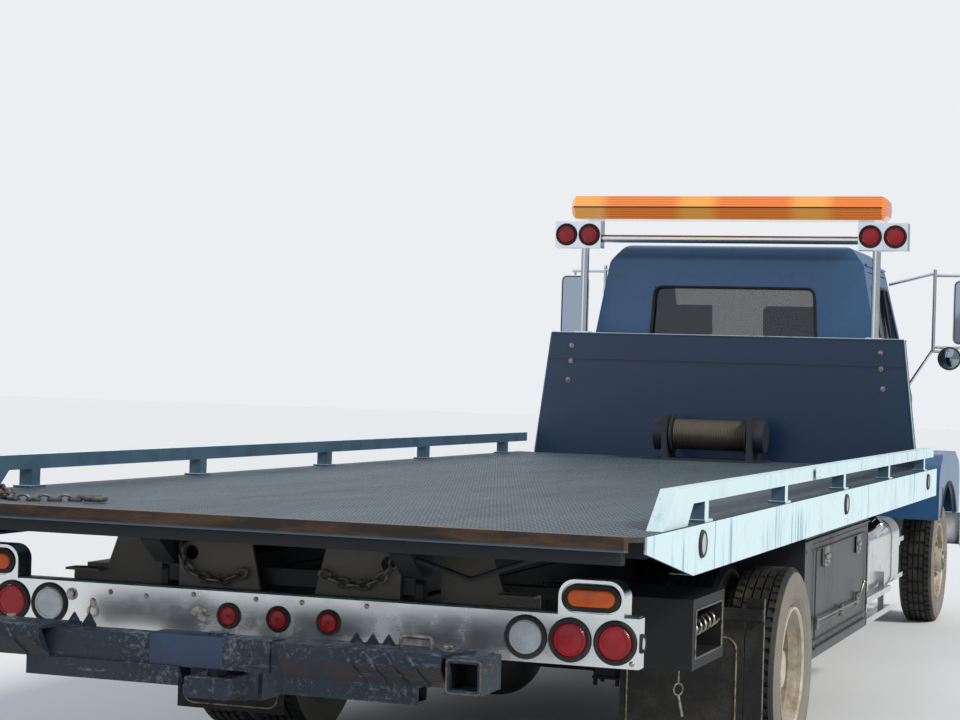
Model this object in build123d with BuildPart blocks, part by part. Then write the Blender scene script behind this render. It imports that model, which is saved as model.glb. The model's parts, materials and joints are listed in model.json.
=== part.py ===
from build123d import *
import os
from math import atan2, cos, hypot, sin

os.makedirs("parts", exist_ok=True)

# Tow truck with a sliding, tilting flatbed and a wheel lift. Millimetres.
# +X points to the front of the truck, +Y to its left, +Z up, wheels on Z = 0.
SIDES = (("left", 1), ("right", -1))

# Deck length and overall reach, measured from the rear face of the tail lamp bar.
DECK_LENGTH = 6700.0
DECK_OVERHANG = 340.0
CAB_CLEARANCE = 220.0
CAB_LENGTH = 1230.0
NOSE_LENGTH = 1330.0
FRONT_REACH = DECK_LENGTH - DECK_OVERHANG + CAB_CLEARANCE + CAB_LENGTH + NOSE_LENGTH
LIFT_REACH = 545.0
TAIL_X = -(FRONT_REACH - LIFT_REACH) / 2
FRONT_X = TAIL_X + FRONT_REACH

# Wheels and tyres
TYRE_R = 406.0
TYRE_W = 226.0
RIM_R = 248.0
DUAL_SPACING = 262.0
REAR_AXLE_X = TAIL_X + 2240.0
FRONT_AXLE_X = FRONT_X - 780.0
REAR_TYRE_Y = 1129.0
FRONT_TYRE_Y = 955.0
KINGPIN_Y = 770.0
REAR_HUB_Y = 905.0
HUB_R = 105.0
HAND_HOLES = 8
RUNNING_GAP = 0.3

# Chassis ladder frame
FRAME_TOP = 830.0
RAIL_H = 230.0
RAIL_FLANGE = 75.0
RAIL_T = 9.0
FRAME_HALF = 432.0
FRAME_REAR_X = TAIL_X + 120.0
FRAME_FRONT_X = FRONT_X - 180.0

# Tilting subframe and sliding deck
PIVOT_X = TAIL_X + 100.0
PIVOT_Z = 862.0
PIVOT_PIN_R = 14.0
SUBFRAME_GAP = 5.0
SUBFRAME_H = 55.0
SUBFRAME_FRONT_X = TAIL_X + 4300.0
SLIDE_PADS = 5
DECK_TOP = 1085.0
DECK_PLATE = 8.0
DECK_HALF = 1270.0
DECK_REAR_X = TAIL_X - DECK_OVERHANG
DECK_FRONT_X = DECK_REAR_X + DECK_LENGTH
BEAM_H = 105.0
BEAM_W = 70.0
BEAM_Y = FRAME_HALF - 2
CROSS_W = 50.0
CROSS_COUNT = 16
CHANNEL_H = 155.0
CHANNEL_W = 70.0
CHANNEL_T = 8.0
TAIL_TAPER = 640.0
TAIL_EDGE_H = 45.0
TAIL_CORNER = 55.0

# Tilt cylinders between the frame and the subframe, (x, z) of their pins
CYL_Y = 226.0
CYL_BASE = (TAIL_X + 1500.0, 690.0)
CYL_EYE = (TAIL_X + 2650.0, 795.0)
CYL_R = 45.0
CYL_ROD_R = 26.0

# Side rails on the deck
RAIL_TUBE = 52.0
RAIL_TOP = 1204.0
RAIL_INSET = 16.0
POST_W = 56.0
POST_FIRST_X = TAIL_X + 531.0
POST_LAST_X = DECK_FRONT_X - 437.0
POST_COUNT = 5
POST_PITCH = (POST_LAST_X - POST_FIRST_X) / (POST_COUNT - 1)

# Headboard and light pylon
BOARD_TOP = 1821.0
BOARD_HALF_LOW = 1155.0
BOARD_HALF_TOP = 1065.0
BOARD_T = 8.0
BOARD_FLANGE = 110.0
PYLON_POST_Y = 886.0
PYLON_POST_R = 24.0
LAMP_BOX_Z = (2340.0, 2500.0)
LAMP_BOX_Y = (780.0, 1068.0)
BEACON_Z = (2512.0, 2650.0)
BEACON_HALF = 950.0
BEACON_DEPTH = 280.0

# Lamps
LAMP_R = 55.0
SMALL_LAMP_R = 34.0
LAMP_PROUD = 12.0

# Tail lamp bar
BAR_HALF = 1181.0
BAR_Z = (665.0, 817.0)
BAR_DEPTH = 60.0
BAR_T = 4.0
BAR_LAMP_Z = (BAR_Z[0] + BAR_Z[1]) / 2
# y of each lamp, lamp radius, colour
BAR_LAMPS = (
    (1107.0, LAMP_R, "red"), (965.0, LAMP_R, "red"), (824.0, LAMP_R, "clear"),
    (173.0, SMALL_LAMP_R, "red"), (0.0, SMALL_LAMP_R, "red"), (-173.0, SMALL_LAMP_R, "red"),
    (-824.0, LAMP_R, "clear"), (-965.0, LAMP_R, "red"), (-1107.0, LAMP_R, "red"),
)
TURN_BOX_Y = (932.0, 1139.0)
TURN_BOX_H = 110.0
TURN_Z = BAR_Z[1] + TURN_BOX_H / 2

# Wheel lift
LIFT_PIVOT_X = TAIL_X + 640.0
LIFT_PIVOT_Z = 585.0
BOOM_SIZE = 130.0
BOOM_T = 10.0
BOOM_PLAY = 0.5
BOOM_REAR_X = TAIL_X - 250.0
INNER_SIZE = BOOM_SIZE - 2 * (BOOM_T + BOOM_PLAY)
CROSSBAR_X = TAIL_X - 430.0
CROSSBAR_Z = 684.0
CROSSBAR_SIZE = 88.0
CROSSBAR_HALF = 870.0

# Cab
CAB_BACK_X = DECK_FRONT_X + CAB_CLEARANCE
CAB_FRONT_X = CAB_BACK_X + CAB_LENGTH
CAB_FLOOR_Z = FRAME_TOP + 40.0
CAB_BELT_Z = 1480.0
CAB_ROOF_Z = 2380.0
CAB_SILL_HALF = 900.0
CAB_BELT_HALF = 925.0
CAB_EAVE_HALF = 780.0
CAB_CORNER_R = 80.0
CAB_WALL = 50.0
GLASS_T = 6.0
GLASS_INSET = 20.0
DOOR_GAP = 6.0
DOOR_X = (CAB_BACK_X + 130.0, CAB_FRONT_X - 70.0)
DOOR_Z = (CAB_FLOOR_Z + 55.0, 2235.0)

# Tilting nose
NOSE_GAP = 20.0
NOSE_X = (CAB_FRONT_X + NOSE_GAP, FRONT_X - 130.0)
NOSE_HINGE_X = FRONT_X - 150.0
NOSE_HINGE_Z = 650.0
NOSE_HINGE_Y = (FRAME_HALF - 132, FRAME_HALF - 102)
NOSE_PIN_R = 8.0
NOSE_T = 25.0
FENDER_HALF = 1110.0
ARCH_R = 525.0
FENDER_TOP = 1130.0
FENDER_R = 140.0
BONNET_R = 95.0
BONNET_CROWN = 35.0
# rear and front of the bonnet: half width, height
BONNET_REAR = (600.0, 1480.0)
BONNET_FRONT = (470.0, 1330.0)
NOSE_LOW = 700.0
FENDER_LAP = 2.0
GRILLE_HALF = 380.0
GRILLE_Z = (800.0, 1210.0)
GRILLE_RIM = 30.0
GRILLE_BARS = 7
HEADLAMP_Y = (760.0, 960.0)
HEADLAMP_Z = (850.0, 990.0)
BUMPER_HALF = 1150.0

# Boxes under the deck
BOX_X = (TAIL_X + 2750.0, TAIL_X + 4450.0)
BOX_Y = (600.0, 1175.0)
BOX_Z = (360.0, 895.0)
BOX_T = 12.0
BOX_PANEL = 190.0
TANK_X = (TAIL_X + 4640.0, TAIL_X + 6040.0)
TANK_Y = (600.0, 1110.0)
TANK_Z = (430.0, 815.0)
TANK_CORNER_R = 90.0


def block(x, y, z, mode=Mode.ADD):
    """Rectangular solid between two stations on each axis."""
    with Locations(((x[0] + x[1]) / 2, (y[0] + y[1]) / 2, (z[0] + z[1]) / 2)):
        Box(abs(x[1] - x[0]), abs(y[1] - y[0]), abs(z[1] - z[0]), mode=mode)


def prism(plane, points, depth, mode=Mode.ADD):
    """Straight-sided outline drawn on a plane and pushed along its normal."""
    with BuildSketch(plane) as outline:
        with BuildLine():
            Polyline(*points, close=True)
        make_face()
    extrude(outline.sketch, amount=depth, mode=mode)


def along_y(points, y, mode=Mode.ADD):
    """Outline of (x, z) points between two stations on Y."""
    prism(Plane.XZ.offset(-max(y)), points, abs(y[1] - y[0]), mode)


def along_x(points, x, mode=Mode.ADD):
    """Outline of (y, z) points between two stations on X."""
    prism(Plane.YZ.offset(min(x)), points, abs(x[1] - x[0]), mode)


def along_z(points, z, mode=Mode.ADD):
    """Outline of (x, y) points between two stations on Z."""
    prism(Plane.XY.offset(min(z)), points, abs(z[1] - z[0]), mode)


def bar(start, end, radius, mode=Mode.ADD):
    """Round bar between two points."""
    direction = Vector(*end) - Vector(*start)
    with BuildSketch(Plane(origin=start, z_dir=direction)) as disc:
        Circle(radius)
    extrude(disc.sketch, amount=direction.length, mode=mode)


def save(builder, name):
    """Label a finished piece and write it."""
    builder.part.label = name
    export_step(builder.part, f"parts/{name}.step")


# Chassis frame: two C rails, cross members, pivot ears at the tail
FRAME_Z = (FRAME_TOP - RAIL_H, FRAME_TOP)
FRAME_CROSS_X = [TAIL_X + x for x in (160, 900, 1330, 2900, 3900, 4900, 5900)] + [CAB_BACK_X + 120, FRONT_X - 290]
with BuildPart() as frame_rails:
    for name, side in SIDES:
        web = side * FRAME_HALF
        lip = side * (FRAME_HALF - RAIL_FLANGE)
        inner = side * (FRAME_HALF - RAIL_T)
        block((FRAME_REAR_X, FRAME_FRONT_X), (web, lip), FRAME_Z)
        block((FRAME_REAR_X, FRAME_FRONT_X), (inner, lip - side), (FRAME_Z[0] + RAIL_T, FRAME_TOP - RAIL_T),
              Mode.SUBTRACT)
        ear_y = (side * (FRAME_HALF + 1), side * (FRAME_HALF + 25))
        block((PIVOT_X - 22, PIVOT_X + 200), (web, ear_y[1]), (FRAME_Z[0] + 40, FRAME_TOP))
        block((PIVOT_X - 22, PIVOT_X + 22), (web, ear_y[1]), (FRAME_TOP, PIVOT_Z))
        bar((PIVOT_X, web, PIVOT_Z), (PIVOT_X, ear_y[1], PIVOT_Z), 22)
        bar((PIVOT_X, side * (FRAME_HALF - 60), PIVOT_Z), (PIVOT_X, ear_y[1], PIVOT_Z), PIVOT_PIN_R)
    for x in FRAME_CROSS_X:
        block((x, x + 60), (-FRAME_HALF + RAIL_T, FRAME_HALF - RAIL_T), (FRAME_Z[0] + 80, FRAME_TOP - 60))
    # lugs for the base pins of the tilt cylinders
    for y in (CYL_Y, -CYL_Y):
        for lug_y in ((y - 38, y - 24 - RUNNING_GAP), (y + 24 + RUNNING_GAP, y + 38)):
            block((TAIL_X + 1380, CYL_BASE[0] + 25), lug_y, (CYL_BASE[1] - 30, CYL_BASE[1] + 40))
    # hanger of the wheel lift between the rails
    for side in (1, -1):
        block((LIFT_PIVOT_X - 60, TAIL_X + 960), (side * 72, side * 92), (LIFT_PIVOT_Z - 60, FRAME_TOP - 70))
    bar((LIFT_PIVOT_X, -92, LIFT_PIVOT_Z), (LIFT_PIVOT_X, 92, LIFT_PIVOT_Z), PIVOT_PIN_R)
save(frame_rails, "frame_rails")

# Engine and gearbox as one closed mass
ENGINE_X = (CAB_FRONT_X + 60, FRONT_X - 340)
with BuildPart() as engine_block:
    block(ENGINE_X, (-300, 300), (640, 1240))
    block((CAB_FRONT_X - 700, ENGINE_X[0]), (-150, 150), (560, 800))
    chamfer(engine_block.edges().filter_by(Axis.X), 40)
    for side in (1, -1):
        block((ENGINE_X[0] + 420, ENGINE_X[0] + 520), (side * 290, side * (FRAME_HALF - RAIL_T)), (700, 760))
save(engine_block, "engine_block")

# Rear axle with its drive shaft
SPRING_Y = FRAME_HALF + 50
with BuildPart() as rear_axle:
    bar((REAR_AXLE_X, -REAR_HUB_Y + 0.5, TYRE_R), (REAR_AXLE_X, REAR_HUB_Y - 0.5, TYRE_R), 62)
    with Locations((REAR_AXLE_X, 0, TYRE_R)):
        Sphere(190)
    bar((REAR_AXLE_X, 0, TYRE_R + 20), (CAB_FRONT_X - 705, 0, 610), 55)
    for side in (1, -1):
        block((REAR_AXLE_X - 70, REAR_AXLE_X + 70), (side * (SPRING_Y - 42), side * (SPRING_Y + 42)),
              (TYRE_R - 70, TYRE_R + 74))
save(rear_axle, "rear_axle")

# Front axle beam, dropped in the middle, with an eye for each kingpin
KNUCKLE_GAP = 4.0
EYE_HALF_H = 45.0
with BuildPart() as front_axle:
    along_x([(-KINGPIN_Y, TYRE_R + 40), (-640, TYRE_R + 40), (-560, TYRE_R - 40), (560, TYRE_R - 40),
             (640, TYRE_R + 40), (KINGPIN_Y, TYRE_R + 40), (KINGPIN_Y, TYRE_R - 40), (640, TYRE_R - 40),
             (560, TYRE_R - 120), (-560, TYRE_R - 120), (-640, TYRE_R - 40), (-KINGPIN_Y, TYRE_R - 40)],
            (FRONT_AXLE_X - 40, FRONT_AXLE_X + 40))
    for side in (1, -1):
        bar((FRONT_AXLE_X, side * KINGPIN_Y, TYRE_R - EYE_HALF_H),
            (FRONT_AXLE_X, side * KINGPIN_Y, TYRE_R + EYE_HALF_H), 48)
        bar((FRONT_AXLE_X, side * KINGPIN_Y, TYRE_R - EYE_HALF_H - 40),
            (FRONT_AXLE_X, side * KINGPIN_Y, TYRE_R + EYE_HALF_H + 40), 20)
save(front_axle, "front_axle")

# Leaf springs: axle x, half length, seat height on the axle
SPRINGS = ((REAR_AXLE_X, 700.0, TYRE_R + 74, 6), (FRONT_AXLE_X, 620.0, TYRE_R - 40, 4))
LEAF_T = 14.0
with BuildPart() as leaf_springs:
    for axle_x, half, seat, leaves in SPRINGS:
        for side in (1, -1):
            y = (side * (SPRING_Y - 36), side * (SPRING_Y + 36))
            for leaf in range(leaves):
                reach = half * (1 - 0.13 * (leaves - 1 - leaf))
                z = seat + leaf * LEAF_T
                rise = 60.0 * (reach / half) ** 2
                along_y([(axle_x - reach, z + rise), (axle_x - reach * 0.5, z + rise * 0.25), (axle_x - 80, z),
                         (axle_x + 80, z), (axle_x + reach * 0.5, z + rise * 0.25), (axle_x + reach, z + rise),
                         (axle_x + reach, z + rise + LEAF_T), (axle_x + reach * 0.5, z + rise * 0.25 + LEAF_T),
                         (axle_x + 80, z + LEAF_T), (axle_x - 80, z + LEAF_T),
                         (axle_x - reach * 0.5, z + rise * 0.25 + LEAF_T), (axle_x - reach, z + rise + LEAF_T)], y)
            eye_z = seat + (leaves - 1) * LEAF_T + 60
            for end in (-1, 1):
                x = axle_x + end * half
                block((x - 35, x + 35), (side * FRAME_HALF, side * (SPRING_Y + 50)), (eye_z, eye_z + 150))
save(leaf_springs, "leaf_springs")

# Fuel tank on the right, hung from the frame by two straps
with BuildPart() as fuel_tank:
    with BuildSketch(Plane.YZ.offset(TANK_X[0])) as section:
        with Locations((-sum(TANK_Y) / 2, sum(TANK_Z) / 2)):
            RectangleRounded(TANK_Y[1] - TANK_Y[0], TANK_Z[1] - TANK_Z[0], TANK_CORNER_R)
    extrude(section.sketch, amount=TANK_X[1] - TANK_X[0])
    with BuildSketch(Plane.YZ.offset(TANK_X[0])) as strap:
        with Locations((-sum(TANK_Y) / 2, sum(TANK_Z) / 2)):
            RectangleRounded(TANK_Y[1] - TANK_Y[0] + 10, TANK_Z[1] - TANK_Z[0] + 10, TANK_CORNER_R + 5)
    for x in (240, TANK_X[1] - TANK_X[0] - 300):
        extrude(strap.sketch.moved(Pos(x, 0, 0)), amount=60)
        block((TANK_X[0] + x, TANK_X[0] + x + 60), (-FRAME_HALF, -TANK_Y[0]), (FRAME_Z[0] + 40, FRAME_TOP - 60))
save(fuel_tank, "fuel_tank")

# Steps up to the cab: on the tank at the right, and on brackets below both doors
with BuildPart() as cab_steps:
    for name, side in SIDES:
        step_x = (CAB_BACK_X + 60, CAB_BACK_X + 560)
        for z in (390, 610):
            block(step_x, (side * 700, side * 985), (z, z + 28))
        for x in (step_x[0] + 30, step_x[1] - 60):
            block((x, x + 30), (side * FRAME_HALF, side * 760), (560, 640))
            block((x, x + 30), (side * 730, side * 800), (390, 640))
    for z in (355, 460):
        block((TANK_X[0] - 120, TANK_X[0] + 700), (-TANK_Y[1] - 60, -TANK_Y[1] - 6), (z, z + 30))
    for x in (TANK_X[0] + 60, TANK_X[0] + 650):
        block((x, x + 30), (-TANK_Y[1] - 30, -TANK_Y[1]), (355, 560))
save(cab_steps, "cab_steps")

# Toolboxes under the deck, one a side, each with a drop-down door
BOX_DOOR_X = (BOX_X[0] + BOX_PANEL, BOX_X[1] - 30)
BOX_DOOR_Z = (BOX_Z[0] + 35, BOX_Z[1] - 35)
BOX_DOOR_T = 22.0
for name, side in SIDES:
    outer = side * BOX_Y[1]
    inner = side * BOX_Y[0]
    with BuildPart() as toolbox:
        block(BOX_X, (inner, outer), BOX_Z)
        block((BOX_X[0] + BOX_T, BOX_X[1] - BOX_T), (inner + side * BOX_T, outer - side * BOX_T),
              (BOX_Z[0] + BOX_T, BOX_Z[1] - BOX_T), Mode.SUBTRACT)
        block(BOX_DOOR_X, (outer - side * 40, outer + side), BOX_DOOR_Z, Mode.SUBTRACT)
        for x in (BOX_X[0] + 300, BOX_X[1] - 300):
            block((x - 40, x + 40), (side * FRAME_HALF, inner), (FRAME_Z[0] + 60, FRAME_TOP - 40))
    save(toolbox, f"toolbox_{name}")
    with BuildPart() as toolbox_door:
        block((BOX_DOOR_X[0] + 3, BOX_DOOR_X[1] - 3), (outer - side * BOX_DOOR_T, outer),
              (BOX_DOOR_Z[0] + RUNNING_GAP, BOX_DOOR_Z[1] - 3))
        fillet(toolbox_door.edges().filter_by(Axis.Y), 12)
        for x in (BOX_DOOR_X[0] + 260, BOX_DOOR_X[1] - 260):
            block((x - 60, x + 60), (outer, outer + side * 8), (BOX_DOOR_Z[1] - 110, BOX_DOOR_Z[1] - 30))
    save(toolbox_door, f"toolbox_{name}_door")

# Black bracket boxes behind the rear wheels, open to the outside
BRACKET_X = (TAIL_X + 830, TAIL_X + 1310)
BRACKET_Y = (700.0, 1150.0)
BRACKET_Z = (560.0, 800.0)
with BuildPart() as rear_brackets:
    for side in (1, -1):
        y = (side * BRACKET_Y[0], side * BRACKET_Y[1])
        block(BRACKET_X, y, BRACKET_Z)
        block((BRACKET_X[0] + 40, BRACKET_X[1] - 40), (y[0] - side, y[1] + side),
              (BRACKET_Z[0] + 40, BRACKET_Z[1] - 40), Mode.SUBTRACT)
        block((BRACKET_X[0] + 100, BRACKET_X[0] + 180), (side * FRAME_HALF, y[0]),
              (BRACKET_Z[1] - 40, BRACKET_Z[1]))
        bar((BRACKET_X[0] + 240, side * 1000, BRACKET_Z[0] + 40),
            (BRACKET_X[0] + 240, side * 1000, BRACKET_Z[1] - 40), 38)
save(rear_brackets, "rear_brackets")

FLAP_X = TAIL_X + 1622.0
with BuildPart() as mud_flaps:
    for side in (1, -1):
        block((FLAP_X, FLAP_X + 8), (side * 690, side * 1160), (160, 700))
        block((FLAP_X - 20, FLAP_X), (side * FRAME_HALF, side * 1232), (660, 700))
        block((FLAP_X, FLAP_X + 5), (side * 1165, side * 1232), (283, 740))
save(mud_flaps, "mud_flaps")

# Tail lamp bar: folded sheet box, open to the front, with arms to the frame
with BuildPart() as light_bar:
    block((TAIL_X, TAIL_X + BAR_DEPTH), (-BAR_HALF, BAR_HALF), BAR_Z)
    block((TAIL_X + BAR_T, TAIL_X + BAR_DEPTH + 1), (-BAR_HALF + BAR_T, BAR_HALF - BAR_T),
          (BAR_Z[0] + BAR_T, BAR_Z[1] - BAR_T), Mode.SUBTRACT)
    for y, radius, colour in BAR_LAMPS:
        bar((TAIL_X - 1, y, BAR_LAMP_Z), (TAIL_X + BAR_DEPTH / 2, y, BAR_LAMP_Z), radius, Mode.SUBTRACT)
    for side in (1, -1):
        arm_y = (side * (FRAME_HALF + 30), side * (FRAME_HALF + 60))
        block((TAIL_X + BAR_T, PIVOT_X + 160), arm_y, (BAR_Z[0] + 20, BAR_Z[1] - 20))
        block((PIVOT_X + 60, PIVOT_X + 160), (side * (FRAME_HALF + 25), arm_y[0]), (BAR_Z[0] + 20, BAR_Z[1] - 20))
        with BuildSketch(Plane.YZ.offset(TAIL_X - 25)) as turn_box:
            with Locations((side * sum(TURN_BOX_Y) / 2, TURN_Z)):
                Rectangle(TURN_BOX_Y[1] - TURN_BOX_Y[0], TURN_BOX_H)
            fillet(turn_box.vertices().sort_by(Axis.Y)[-2:], 50)
        extrude(turn_box.sketch, amount=BAR_DEPTH + 25)
        with BuildSketch(Plane.YZ.offset(TAIL_X - 26)) as turn_hole:
            with Locations((side * sum(TURN_BOX_Y) / 2, TURN_Z)):
                SlotOverall(TURN_BOX_Y[1] - TURN_BOX_Y[0] - 18, TURN_BOX_H - 18)
        extrude(turn_hole.sketch, amount=21, mode=Mode.SUBTRACT)
save(light_bar, "light_bar")

for colour in ("red", "clear"):
    with BuildPart() as lamps:
        for y, radius, kind in BAR_LAMPS:
            if kind == colour:
                bar((TAIL_X - LAMP_PROUD, y, BAR_LAMP_Z), (TAIL_X + 20, y, BAR_LAMP_Z), radius)
    save(lamps, f"tail_lamps_{colour}")

with BuildPart() as tail_lamps_amber:
    for side in (1, -1):
        y = side * (TURN_BOX_Y[0] + TURN_BOX_Y[1]) / 2
        with BuildSketch(Plane.YZ.offset(TAIL_X - 30)) as lens:
            with Locations((y, TURN_Z)):
                SlotOverall(162, 64)
        extrude(lens.sketch, amount=25)
save(tail_lamps_amber, "tail_lamps_amber")

# Cab: one side outline and one cross section, used for skin, doors and glass
CAB_SIDE = [(CAB_BACK_X, CAB_FLOOR_Z - 40), (CAB_BACK_X, 2300), (CAB_BACK_X + 60, CAB_ROOF_Z),
            (CAB_FRONT_X - 430, CAB_ROOF_Z), (CAB_FRONT_X - 20, 1560), (CAB_FRONT_X, 1500),
            (CAB_FRONT_X, CAB_FLOOR_Z - 40)]
CAB_SECTION = [(-CAB_SILL_HALF, CAB_FLOOR_Z - 40), (-CAB_BELT_HALF, CAB_BELT_Z), (-CAB_EAVE_HALF, 2270),
               (-CAB_EAVE_HALF + 90, CAB_ROOF_Z), (CAB_EAVE_HALF - 90, CAB_ROOF_Z), (CAB_EAVE_HALF, 2270),
               (CAB_BELT_HALF, CAB_BELT_Z), (CAB_SILL_HALF, CAB_FLOOR_Z - 40)]


def cab_form(inset):
    """Closed form of the cab, drawn in by a wall."""
    with BuildPart() as form:
        with BuildSketch(Plane.XZ.offset(-CAB_BELT_HALF - 50)) as side_view:
            with BuildLine():
                Polyline(*CAB_SIDE, close=True)
            make_face()
            offset(amount=-inset, kind=Kind.INTERSECTION)
            fillet(side_view.vertices(), CAB_CORNER_R - inset)
        extrude(amount=2 * CAB_BELT_HALF + 100)
        with BuildSketch(Plane.YZ.offset(CAB_BACK_X - 50)) as section:
            with BuildLine():
                Polyline(*CAB_SECTION, close=True)
            make_face()
            offset(amount=-inset, kind=Kind.INTERSECTION)
            fillet(section.vertices(), CAB_CORNER_R - inset)
        extrude(amount=CAB_FRONT_X - CAB_BACK_X + 100, mode=Mode.INTERSECT)
    return form.part


DOOR_OUTLINE = [(DOOR_X[0], DOOR_Z[0]), (DOOR_X[0], DOOR_Z[1]), (DOOR_X[1] - 315, DOOR_Z[1]),
                (DOOR_X[1], 1600), (DOOR_X[1], DOOR_Z[0])]
WINDOW_OUTLINE = [(DOOR_X[0] + 75, CAB_BELT_Z + 40), (DOOR_X[0] + 75, DOOR_Z[1] - 80),
                  (DOOR_X[1] - 370, DOOR_Z[1] - 80), (DOOR_X[1] - 85, 1620), (DOOR_X[1] - 85, CAB_BELT_Z + 40)]
SCREEN_OUTLINE = [(-780, 1620), (-690, 2270), (690, 2270), (780, 1620)]
BACKLIGHT_OUTLINE = [(-520, 1620), (-490, 2120), (490, 2120), (520, 1620)]
SIDE_REACH = CAB_BELT_HALF + 60
SIDE_START = CAB_EAVE_HALF - 200
outer_form = cab_form(0)
inner_form = cab_form(CAB_WALL)
glass_outer = cab_form(GLASS_INSET)
glass_inner = cab_form(GLASS_INSET + GLASS_T)

with BuildPart() as cab_shell:
    add(outer_form)
    add(inner_form, mode=Mode.SUBTRACT)
    for side in (1, -1):
        along_y(DOOR_OUTLINE, (side * SIDE_START, side * SIDE_REACH), Mode.SUBTRACT)
    along_x(SCREEN_OUTLINE, (CAB_FRONT_X - 500, CAB_FRONT_X + 10), Mode.SUBTRACT)
    along_x(BACKLIGHT_OUTLINE, (CAB_BACK_X - 10, CAB_BACK_X + 200), Mode.SUBTRACT)
save(cab_shell, "cab_shell")

with BuildPart() as panes:
    along_x(SCREEN_OUTLINE, (CAB_FRONT_X - 500, CAB_FRONT_X + 10))
    along_x(BACKLIGHT_OUTLINE, (CAB_BACK_X - 10, CAB_BACK_X + 200))
with BuildPart() as cab_glass:
    add(glass_outer)
    add(glass_inner, mode=Mode.SUBTRACT)
    add(panes.part, mode=Mode.INTERSECT)
save(cab_glass, "cab_glass")

# Seats, dashboard and steering wheel
SEAT_X = CAB_BACK_X + 130
DASH_X = CAB_FRONT_X - CAB_WALL
WHEEL_HUB = (DASH_X - 480, 430, CAB_BELT_Z + 5)
with BuildPart(Plane(origin=WHEEL_HUB, z_dir=(-180, 0, 115))) as steering_wheel:
    Torus(215, 15)
    Cylinder(55, 30)
    for turn in (0, 120, 240):
        with Locations(Rot(0, 0, turn + 90) * Pos(125, 0, 0)):
            Box(200, 30, 12)
with BuildPart() as cab_interior:
    for y in (430, -430):
        along_y([(SEAT_X, CAB_FLOOR_Z + 10), (SEAT_X, CAB_FLOOR_Z + 460), (SEAT_X - 60, CAB_FLOOR_Z + 1120),
                 (SEAT_X + 50, CAB_FLOOR_Z + 1150), (SEAT_X + 130, CAB_FLOOR_Z + 470),
                 (SEAT_X + 560, CAB_FLOOR_Z + 490), (SEAT_X + 580, CAB_FLOOR_Z + 380),
                 (SEAT_X + 480, CAB_FLOOR_Z + 10)], (y - 260, y + 260))
    along_y([(DASH_X, CAB_FLOOR_Z + 400), (DASH_X, CAB_BELT_Z - 10), (DASH_X - 330, CAB_BELT_Z - 40),
             (DASH_X - 360, CAB_BELT_Z - 230), (DASH_X - 200, CAB_FLOOR_Z + 330)], (-860, 860))
    bar((DASH_X - 300, 430, CAB_BELT_Z - 110), WHEEL_HUB, 30)
    add(steering_wheel.part)
save(cab_interior, "cab_interior")

# Doors cut from the same skin as the cab, each with glass and a mirror
HINGE_X = DOOR_X[1] - 12
HINGE_Y = CAB_BELT_HALF - 10
MIRROR_X = DOOR_X[1] - 190
for name, side in SIDES:
    with BuildPart() as door:
        with BuildSketch(Plane.XZ.offset(-max(side * SIDE_START, side * SIDE_REACH))) as leaf:
            with BuildLine():
                Polyline(*DOOR_OUTLINE, close=True)
            make_face()
            offset(amount=-DOOR_GAP, kind=Kind.INTERSECTION)
        extrude(amount=SIDE_REACH - SIDE_START)
        add(outer_form, mode=Mode.INTERSECT)
        add(inner_form, mode=Mode.SUBTRACT)
        along_y(WINDOW_OUTLINE, (side * SIDE_START, side * SIDE_REACH), Mode.SUBTRACT)
        block((DOOR_X[0] + 60, DOOR_X[0] + 200), (side * (CAB_BELT_HALF - 15), side * (CAB_BELT_HALF + 25)),
              (CAB_BELT_Z - 130, CAB_BELT_Z - 95))
    save(door, f"door_{name}")
    with BuildPart() as door_glass:
        along_y(WINDOW_OUTLINE, (side * SIDE_START, side * SIDE_REACH))
        add(glass_outer, mode=Mode.INTERSECT)
        add(glass_inner, mode=Mode.SUBTRACT)
    save(door_glass, f"door_{name}_glass")

# Mirrors on tube frames, one for each door, with a round spot mirror below
HEAD_Y = 1290.0
ARM_Y = 1080.0
for name, side in SIDES:
    head_y = side * HEAD_Y
    arm_y = side * ARM_Y
    with BuildPart() as mirror:
        with BuildSketch(Plane.YZ.offset(MIRROR_X - 20)) as head:
            with Locations((head_y, 2030)):
                RectangleRounded(178, 406, 40)
        extrude(head.sketch, amount=55)
        with BuildSketch(Plane.YZ.offset(MIRROR_X - 10)) as spot:
            with Locations((arm_y + side * 105, 1740)):
                Circle(75)
        extrude(spot.sketch, amount=30)
        bar((MIRROR_X, arm_y, 1775), (MIRROR_X, arm_y, 2300), 11)
        bar((MIRROR_X, side * 770, 2195), (MIRROR_X, arm_y, 2275), 10)
        bar((MIRROR_X, arm_y, 2262), (MIRROR_X, head_y + side * 20, 2262), 9)
        bar((MIRROR_X, side * 895, 1500), (MIRROR_X, arm_y + side * 2, 1800), 10)
        bar((MIRROR_X, arm_y, 1782), (MIRROR_X, arm_y + side * 105, 1782), 9)
        bar((MIRROR_X, arm_y, 1808), (MIRROR_X, head_y + side * 20, 1808), 9)
        bar((MIRROR_X, head_y, 1800), (MIRROR_X, head_y, 2270), 8)
        along_x([(side * CAB_BELT_HALF, CAB_BELT_Z), (side * CAB_EAVE_HALF, 2270), (side * 600, 2270),
                 (side * 600, CAB_BELT_Z)], (MIRROR_X - 20, MIRROR_X + 20), Mode.SUBTRACT)
    save(mirror, f"mirror_{name}")

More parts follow.
